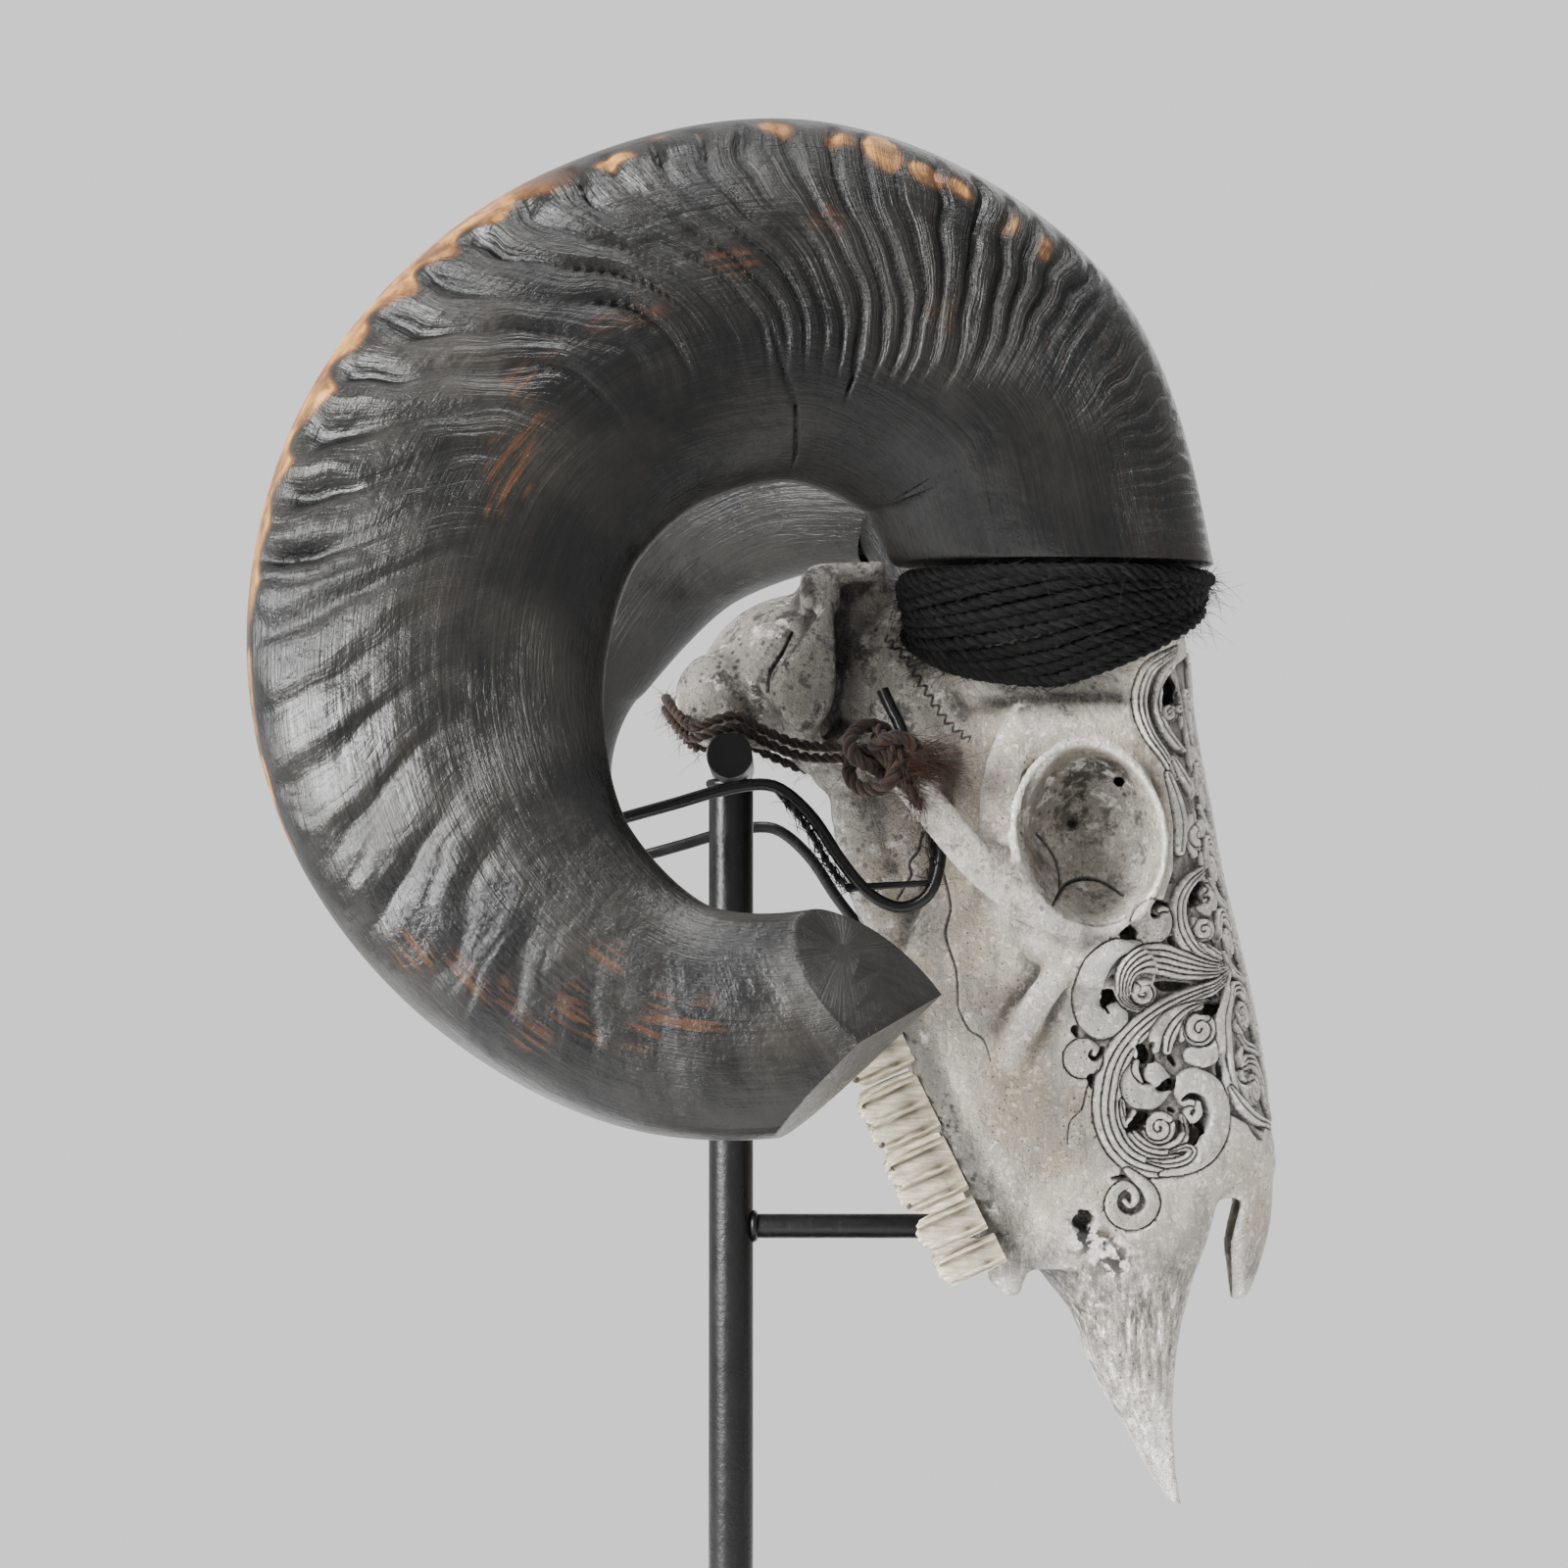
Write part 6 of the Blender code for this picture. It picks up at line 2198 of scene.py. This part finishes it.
@dataclass
class Cord:
    """A cord of twisted strands."""

    radius: float
    strands: int = 3
    pitch: float = 9
    sides: int = 6

    def lay(self, mesh: Mesh, path: np.ndarray) -> None:
        """Lays the cord along a path.

        Args:
            mesh: the mesh that it is added to.
            path: the path's points in metres.
        """
        walked, _, across, out = walk(path)
        strand = self.radius / (1 + 1 / math.sin(math.pi / self.strands)) * 1.04
        offset = (self.radius - strand) * MM
        layer = mesh.verts.layers.float.get("shade_and_grime") or mesh.verts.layers.float.new("shade_and_grime")
        lay_layer = mesh.verts.layers.float_vector.get("grain") or mesh.verts.layers.float_vector.new("grain")
        turns = np.arange(self.sides) * FULL_TURN / self.sides
        for k in range(self.strands):
            angle = walked / (self.pitch * MM) * FULL_TURN + FULL_TURN * k / self.strands
            shift = across * np.cos(angle)[:, None] + out * np.sin(angle)[:, None]
            kept = sweep(mesh, path + shift * offset, strand * MM, self.sides)
            # Painted shade: each strand is darker on its side towards the cord's middle, between the strands.
            inward = 0.5 - 0.5 * np.cos(turns[None, :] - angle[:, None])
            lie = np.stack((
                np.broadcast_to(walked[:, None], inward.shape),
                strand * MM * np.cos(turns[None, :] - 1.4 * angle[:, None]) + 0.013 * k,
                strand * MM * np.sin(turns[None, :] - 1.4 * angle[:, None]),
            ), axis=-1)
            store(kept, layer, inward.ravel())
            store(kept, lay_layer, lie.reshape(-1, 3))

    def hairs(self, path: np.ndarray, count: int, length: float, seed: int) -> np.ndarray:
        """Works out loose hairs that leave the cord.

        Args:
            path: the cord's path in metres.
            count: how many hairs.
            length: their mean length.
            seed: what the chance is drawn from.

        Returns:
            Four points for each hair, from its root to its tip.
        """
        chance = np.random.default_rng(seed)
        _, along, across, out = walk(path)
        k = chance.integers(2, len(path) - 2, count)
        angle = chance.uniform(0, FULL_TURN, (count, 1))
        away = across[k] * np.cos(angle) + out[k] * np.sin(angle)
        lie = along[k] * chance.choice((-1, 1), (count, 1)) * chance.uniform(0.4, 1.6, (count, 1))
        lie += away * chance.uniform(0.15, 0.8, (count, 1))
        lie /= np.linalg.norm(lie, axis=1, keepdims=True)
        reach = length * MM * chance.uniform(0.4, 1.5, (count, 1, 1))
        bend = chance.normal(0, 0.35, (count, 1, 3)) + np.array((0, 0, -0.12))
        root = path[k] + away * self.radius * MM * 0.85
        steps = np.linspace(0, 1, 4)[None, :, None]
        return root[:, None] + lie[:, None] * reach * steps + bend * reach * steps**2


def add_hairs(mesh: Mesh, hairs: np.ndarray, thickness: float = 0.17) -> None:
    """Adds thin tapered hairs, three-sided and closed.

    Args:
        mesh: an empty mesh that they are made in.
        hairs: hairs by four points by three, in metres.
        thickness: a hair's thickness at its root in millimetres.
    """
    count, steps = hairs.shape[:2]
    along = hairs[:, -1] - hairs[:, 0]
    along /= np.linalg.norm(along, axis=1, keepdims=True)
    across = np.cross(along, (0.31, 0.57, 0.76))
    across /= np.linalg.norm(across, axis=1, keepdims=True)
    out = np.cross(along, across)
    turns = np.arange(3) * FULL_TURN / 3
    around = across[:, None] * np.cos(turns)[None, :, None] + out[:, None] * np.sin(turns)[None, :, None]
    taper = np.array((0.5, 0.45, 0.34, 0.12)) * thickness * MM
    rings = hairs[:, :, None] + around[:, None] * taper[None, :, None, None]
    kept = wrap_grid(mesh, rings.reshape(count * steps, 3, 3), closed=False)
    place = {vert: i // 3 for i, vert in enumerate(kept)}
    between_hairs = [
        f for f in mesh.faces if len({place[v] // steps for v in f.verts}) > 1
    ]
    bmesh.ops.delete(mesh, geom=between_hairs, context="FACES")
    bmesh.ops.holes_fill(mesh, edges=[e for e in mesh.edges if e.is_boundary], sides=3)


def join(mesh: Mesh, other: Mesh) -> None:
    """Moves another mesh's content into a mesh.

    Args:
        mesh: the mesh that takes it.
        other: the mesh that gives it and is used up.
    """
    carrier = bpy.data.meshes.new("carrier")
    other.to_mesh(carrier)
    other.free()
    mesh.from_mesh(carrier)
    bpy.data.meshes.remove(carrier)


@dataclass
class HornRope:
    """Black rope wound round a horn's root."""

    side: Side
    cord: Cord
    turns: int = 8
    lean: float = 0.3
    steps: int = 150
    top: float = 332.6
    hair_count: int = 2600

    def boss(self, z: float, grow: float, angle: float) -> Place:
        """Finds a point round the horn's boss.

        Args:
            z: its height.
            grow: its distance from the bone.
            angle: its direction.

        Returns:
            The point on the right side.
        """
        height = min(max(z, BOSS_SECTIONS[0][0]), BOSS_SECTIONS[-1][0])
        heights, *columns = zip(*BOSS_SECTIONS)
        x, y, long, wide = (float(np.interp(height, heights, column)) for column in columns)
        return x + (long + grow) * math.cos(angle), -(y + (wide + grow) * math.sin(angle)), z

    def path(self) -> np.ndarray:
        """Winds the rope's path, from its foot to the horn.

        Returns:
            The path's points in metres.
        """
        thick = self.cord.radius
        whole = round(self.turns * (1 + 2 * self.lean))
        points = []
        for i in range(whole * self.steps):
            turn = i / self.steps
            angle = FULL_TURN * turn
            slope = 7.5 if math.cos(angle) > 0 else 1.1
            foot = 312.5 - 12.5 * math.sin(angle) + slope * math.cos(angle) + thick
            top = self.top - thick
            raw = turn / whole * (1 + 2 * self.lean) - self.lean + self.lean * math.cos(angle - 0.5)
            share = min(max(raw, 0), 1)
            squeeze = 1 - min((top - foot) / (2 * thick * self.turns), 1)
            over = 0.5 + 0.5 * math.cos(math.pi * int(turn) + 3 * math.sin(angle * 0.5 + turn))
            beyond = min(abs(raw - share) * 6, 1)
            lift = thick * (0.9 + 1.1 * over * max(squeeze, beyond) + 0.15 * math.sin(turn * 11))
            height = foot + (top - foot) * share + 0.35 * math.sin(turn * 17)
            points.append(self.boss(height, lift, angle))
        path = np.array(points) * MM
        path[:, 1] *= -self.side.value
        return path

    def build(self, fibre: bpy.types.Material) -> None:
        """Makes the rope with its hairs.

        Args:
            fibre: its material.
        """
        path = self.path()
        mesh, loose = bmesh.new(), bmesh.new()
        self.cord.lay(mesh, path)
        add_hairs(loose, self.cord.hairs(path, self.hair_count, 7, 11 + self.side.value))
        inner = [[self.boss(z, 0.6, angle) for angle in angles(48)] for z in (318, 326, self.top)]
        rings = np.array(inner) * MM
        rings[..., 1] *= -self.side.value
        wrap_grid(mesh, rings)
        join(mesh, loose)
        obj = make_object(f"{self.side.word}_horn_binding", mesh)
        hand_over(obj, f"horn_rope_{self.side.word}", "black_rope", fibre, crease=60)


# The knot's two free ends, as steps from its middle.
KNOT_TAILS = (((4, 2, 2), (10, 3, 1), (15, 2, -2), (19, 1, -4)), ((3, 2, -5), (8, 4, -9), (11, 3, -14)))


@dataclass
class TieCord:
    """Brown cord that binds the skull to the stand, knotted at the end of each arch."""

    cord: Cord
    run_hairs: int = 260
    knot_hairs: int = 160
    tail_hairs: int = 90
    brush_hairs: int = 420
    brush_reach: Spot = (7, 17)
    knot: Place = (41, 62, 280)
    knot_radii: Place = (10.5, 5, 9.5)

    def route(self, shift: float) -> np.ndarray:
        """Gives one of the cord's two runs behind the skull.

        Args:
            shift: how far the run lies above the middle of the route.

        Returns:
            The run's points in metres.
        """
        half = [(x if x > 0 else 0.82 * x, y, z + shift) for x, y, z in CORD_ROUTE]
        whole = [(x, -y, z) for x, y, z in half] + [(x, y, z) for x, y, z in half[-2::-1]]
        return smooth_path(whole, 1.0)

    def knot_path(self, side: int) -> np.ndarray:
        """Gives a knot's path round the end of the arch.

        Args:
            side: -1 for the right, 1 for the left.

        Returns:
            The knot's points in metres.
        """
        centre = np.array((self.knot[0], self.knot[1] * side, self.knot[2]))
        t = np.linspace(0, FULL_TURN * 2, 220)
        x = (1.9 + np.cos(1.5 * t)) * np.cos(t) / 2.9
        z = (1.9 + np.cos(1.5 * t)) * np.sin(t) / 2.9
        y = np.sin(1.5 * t) * side
        ring = np.stack((x * self.knot_radii[0], y * self.knot_radii[1], z * self.knot_radii[2]), axis=1)
        return (centre + ring) * MM

    def brush(self, side: int) -> np.ndarray:
        """Works out the frayed end that stands out of a knot like a brush.

        Args:
            side: -1 for the right, 1 for the left.

        Returns:
            Four points for each hair.
        """
        chance = np.random.default_rng(61 + side)
        count = self.brush_hairs
        x, y, z = self.knot
        root = np.array((x + 7, (y + 1.5) * side, z - 1)) + chance.normal(0, 1, (count, 3)) * (1.2, 1.2, 2.4)
        spread = chance.normal(0, 1, (count, 3)) * (0.1, 0.16, 0.26)
        away = np.array((1.0, 0.1 * side, 0.02)) + spread
        reach = chance.uniform(*self.brush_reach, (count, 1, 1))
        bend = chance.normal(0, 0.16, (count, 1, 3)) + np.array((0, 0, -0.15))
        steps = np.linspace(0, 1, 4)[None, :, None]
        return (root[:, None] + away[:, None] * reach * steps + bend * reach * steps**2) * MM

    def build(self, fibre: bpy.types.Material) -> None:
        """Makes the cord with its knots, tails and hairs.

        Args:
            fibre: its material.
        """
        mesh, loose = bmesh.new(), bmesh.new()
        hairs = []
        for k, shift in enumerate((-1.9, 1.3)):
            path = self.route(shift)
            self.cord.lay(mesh, path)
            hairs.append(self.cord.hairs(path, self.run_hairs, 6, 21 + k))
        for side in Side:
            s = side.value
            knot = self.knot_path(s)
            Cord(2.1, pitch=9, sides=7).lay(mesh, knot)
            hairs.append(self.cord.hairs(knot, self.knot_hairs, 7, 31 + s))
            x, y, z = self.knot
            wrap = [
                (x + 4 + 5 * math.cos(a), (y - 3 + 7 * math.sin(a)) * s, z - 5 - 6 * math.cos(a) + a * 0.5)
                for a in (FULL_TURN * k / 10 for k in range(26))
            ]
            turn = smooth_path(wrap, 1.0)
            self.cord.lay(mesh, turn)
            for tail in KNOT_TAILS:
                line = smooth_path([(x + dx, (y + dy) * s, z + dz) for dx, dy, dz in tail], 0.8)
                self.cord.lay(mesh, line)
                hairs.append(self.cord.hairs(line[-8:], self.tail_hairs, 9, 41 + s))
            hairs.append(self.brush(s))
        add_hairs(loose, np.concatenate(hairs))
        join(mesh, loose)
        obj = make_object("brown_tie_cord", mesh)
        hand_over(obj, "tie_cord", "coir", fibre, crease=60)


@dataclass
class Stand:
    """The steel stand: plate, post, crossbar, arm to the palate, and cradle wire."""

    plate: Place = (170, 170, 6)
    plate_x: float = 8
    plate_corner: float = 4
    plate_rim: float = 0.7
    post_radius: float = 6.3
    crossbar_z: float = 281.2
    crossbar_half: float = 50
    arm_radius: float = 3.5
    arm_z: float = 150
    arm_end_x: float = 77.4
    wire_radius: float = 1.7
    wire_left_drop: float = 9
    strip_from: float = 12
    strip_heights: tuple[float, float] = (247, 274)
    strip_sag: Place = (-2.3, -0.4, -2.6)

    def add_bead(self, mesh: Mesh, centre: Row, axis: str, radius: float, size: float) -> None:
        """Adds a weld bead round a bar.

        Args:
            mesh: the mesh that it is added to.
            centre: the middle of the joint.
            axis: the bar's direction, X or Z.
            radius: the bar's radius.
            size: the bead's half thickness.
        """
        turn = Matrix.Rotation(math.pi / 2, 4, "Y") if axis == "X" else Matrix()
        place = Matrix.Translation(Vector(centre) * MM) @ turn
        section = bmesh.ops.create_circle(
            mesh, segments=10, radius=size * MM,
            matrix=place @ Matrix.Translation((radius * MM, 0, 0)) @ Matrix.Rotation(math.pi / 2, 4, "X"),
        )["verts"]
        edges = list({e for v in section for e in v.link_edges})
        bmesh.ops.spin(
            mesh, geom=section + edges, cent=place.translation, axis=place.to_3x3() @ Vector((0, 0, 1)),
            angle=FULL_TURN, steps=40, use_merge=True,
        )
        bmesh.ops.remove_doubles(mesh, verts=mesh.verts, dist=0.00001)

    def add_frayed_strip(self, mesh: Mesh, path: np.ndarray) -> None:
        """Hangs a frayed black strip below the near side of the wire, tied in at both its ends.

        Args:
            mesh: the wire's mesh.
            path: the wire's path in metres.
        """
        low, high = self.strip_heights
        near = path[(path[:, 1] < 0) & (path[:, 0] > self.strip_from * MM)]
        near = near[(near[:, 2] > low * MM) & (near[:, 2] < high * MM)]
        sag = np.sin(np.linspace(0, math.pi, len(near)))[:, None] ** 0.5
        hung = near + sag * np.array(self.strip_sag) * MM
        steel_faces = len(mesh.faces)
        strip = Cord(1.2, strands=2, pitch=7, sides=6)
        strip.lay(mesh, hung)
        loose = bmesh.new()
        add_hairs(loose, strip.hairs(hung, 240, 3.2, 47), 0.3)
        join(mesh, loose)
        for k, face in enumerate(mesh.faces):
            face.material_index = 0 if k < steel_faces else 1

    def build(self, steel: bpy.types.Material, fibre: bpy.types.Material) -> None:
        """Makes the stand's five pieces.

        Args:
            steel: their finish.
            fibre: the finish of the frayed strip below the wire.
        """
        base = bmesh.new()
        add_box(base, (self.plate_x, 0, self.plate[2] / 2), self.plate)
        for level, size, segments in ((False, self.plate_corner, 8), (True, self.plate_rim, 3)):
            edges = [e for e in base.edges if (abs(e.verts[0].co.z - e.verts[1].co.z) < 1e-5) == level]
            bmesh.ops.bevel(
                base, geom=edges, offset=size * MM, segments=segments, profile=0.5, affect="EDGES",
                material=-1,
            )
        hand_over(make_object("base_plate", base), "stand_base", "black_steel", steel)

        post = bmesh.new()
        top = self.crossbar_z - self.post_radius + 1.2
        add_rod(post, (0, 0, self.plate[2]), (0, 0, top), self.post_radius, 64)
        self.add_bead(post, (0, 0, self.plate[2] + 0.4), "Z", self.post_radius, 1.6)
        self.add_bead(post, (0, 0, top - 1), "Z", self.post_radius - 0.4, 1.3)
        hand_over(make_object("post", post), "stand_post", "black_steel", steel)

        bar = bmesh.new()
        half = self.crossbar_half
        add_rod(bar, (0, -half, self.crossbar_z), (0, half, self.crossbar_z), self.post_radius, 64, 0.5)
        hand_over(make_object("crossbar", bar), "stand_crossbar", "black_steel", steel)

        arm = bmesh.new()
        root, end = (self.post_radius - 0.5, 0, self.arm_z), (self.arm_end_x, 0, self.arm_z)
        add_rod(arm, root, end, self.arm_radius, 40, 0.6)
        self.add_bead(arm, (self.post_radius + 0.2, 0, self.arm_z), "X", self.arm_radius, 1.1)
        hand_over(make_object("palate_arm", arm), "stand_arm", "black_steel", steel)

        wire = bmesh.new()
        route = [(x, -y, z) for x, y, z in WIRE_RIGHT]
        route += [(x, y, z - self.wire_left_drop) for x, y, z in WIRE_RIGHT[::-1]]
        path = smooth_path(route, 2.0)
        sweep(wire, path, self.wire_radius * MM, 16)
        self.add_frayed_strip(wire, path)
        hand_over(make_object("wire_cradle", wire), "cradle_wire", "black_steel", steel, fibre)


@dataclass
class Studio:
    """Pale floor, soft light and the camera at the photograph's place."""

    camera_place: Place = (0.015, -1.599, 0.2192)
    camera_tilt: float = 92
    lens: float = 129.6
    floor_radius: float = 0.5
    pale: Colour = (0.80, 0.80, 0.80)
    shaded: Colour = (0.76, 0.76, 0.76)
    floor_place: Place = (0.008, 0, -0.0002)
    aim: Place = (0.02, 0, 0.27)
    glow: float = 1.35
    sensor: float = 36

    def lamp(self, name: str, place: Row, size: float, power: float) -> None:
        """Adds a soft square lamp that shines at the skull.

        Args:
            name: the lamp's name.
            place: where it hangs.
            size: its width.
            power: its power in watts.
        """
        data = bpy.data.lights.new(name, "AREA")
        data.size, data.energy = size, power
        lamp = bpy.data.objects.new(name, data)
        lamp.location = place
        aim = Vector(self.aim) - Vector(place)
        lamp.rotation_euler = aim.to_track_quat("-Z", "Y").to_euler()
        bpy.context.scene.collection.objects.link(lamp)

    def build(self) -> None:
        """Sets up floor, backdrop colour, lamps and camera."""
        ground = bmesh.new()
        place = Matrix.Translation(self.floor_place)
        bmesh.ops.create_circle(ground, cap_ends=True, segments=96, radius=self.floor_radius, matrix=place)
        floor = make_object("studio_floor", ground)
        cloth = Recipe("studio_floor")
        colour = cloth.mixed(cloth.noise(3), self.pale, self.shaded)
        floor.data.materials.append(cloth.finish(colour, 0.9))
        world = bpy.data.worlds.new("pale_studio")
        world.use_nodes = True
        world.node_tree.nodes["Background"].inputs["Color"].default_value = (*self.pale, 1)
        world.node_tree.nodes["Background"].inputs["Strength"].default_value = self.glow
        bpy.context.scene.world = world
        self.lamp("key", (-1.25, -0.95, 0.6), 0.8, 185)
        self.lamp("top", (0.1, -0.3, 1.7), 0.6, 40)
        self.lamp("back", (0.5, 1.3, 0.9), 0.8, 4)
        data = bpy.data.cameras.new("camera")
        data.lens, data.sensor_width = self.lens, self.sensor
        camera = bpy.data.objects.new("camera", data)
        camera.location = self.camera_place
        camera.rotation_euler = (math.radians(self.camera_tilt), 0, 0)
        bpy.context.scene.collection.objects.link(camera)
        bpy.context.scene.camera = camera


def main() -> None:
    """Builds every piece in order."""
    logging.basicConfig(level=logging.INFO, format="%(message)s")
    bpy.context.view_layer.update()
    Studio().build()
    steel = PaintedSteel().build()
    black = CordFibre("black_rope_fibre", (0.0010, 0.0010, 0.0010), (0.0105, 0.010, 0.010), 0.01).build()
    Stand().build(steel, black)
    brown = CordFibre("brown_coir", (0.008, 0.0045, 0.003), (0.060, 0.028, 0.015), 0.1).build()
    TieCord(Cord(1.5, strands=2, pitch=7, sides=7)).build(brown)
    horn = BlackenedHorn().build()
    dark_facet = SawnHorn("sawn_horn_dark", (0.004, 0.004, 0.0038), (0.0015, 0.0015, 0.0015), 0.0005, 0.1)
    hollowed = dark_facet.build()
    fibrous = SawnHorn("sawn_horn_grey", (0.085, 0.08, 0.072), (0.012, 0.011, 0.010)).build()
    for side in Side:
        Horn(side).build(horn, hollowed, fibrous)
        HornRope(side, Cord(2.1, pitch=10.5)).build(black)
    ivory = ToothIvory().build()
    for side in Side:
        for name, x, z, length, lobes in TEETH:
            Tooth(side, name, x, z, length, lobes).build(ivory)
    Skull().build(WeatheredBone().build())


if __name__ == "__main__":
    main()
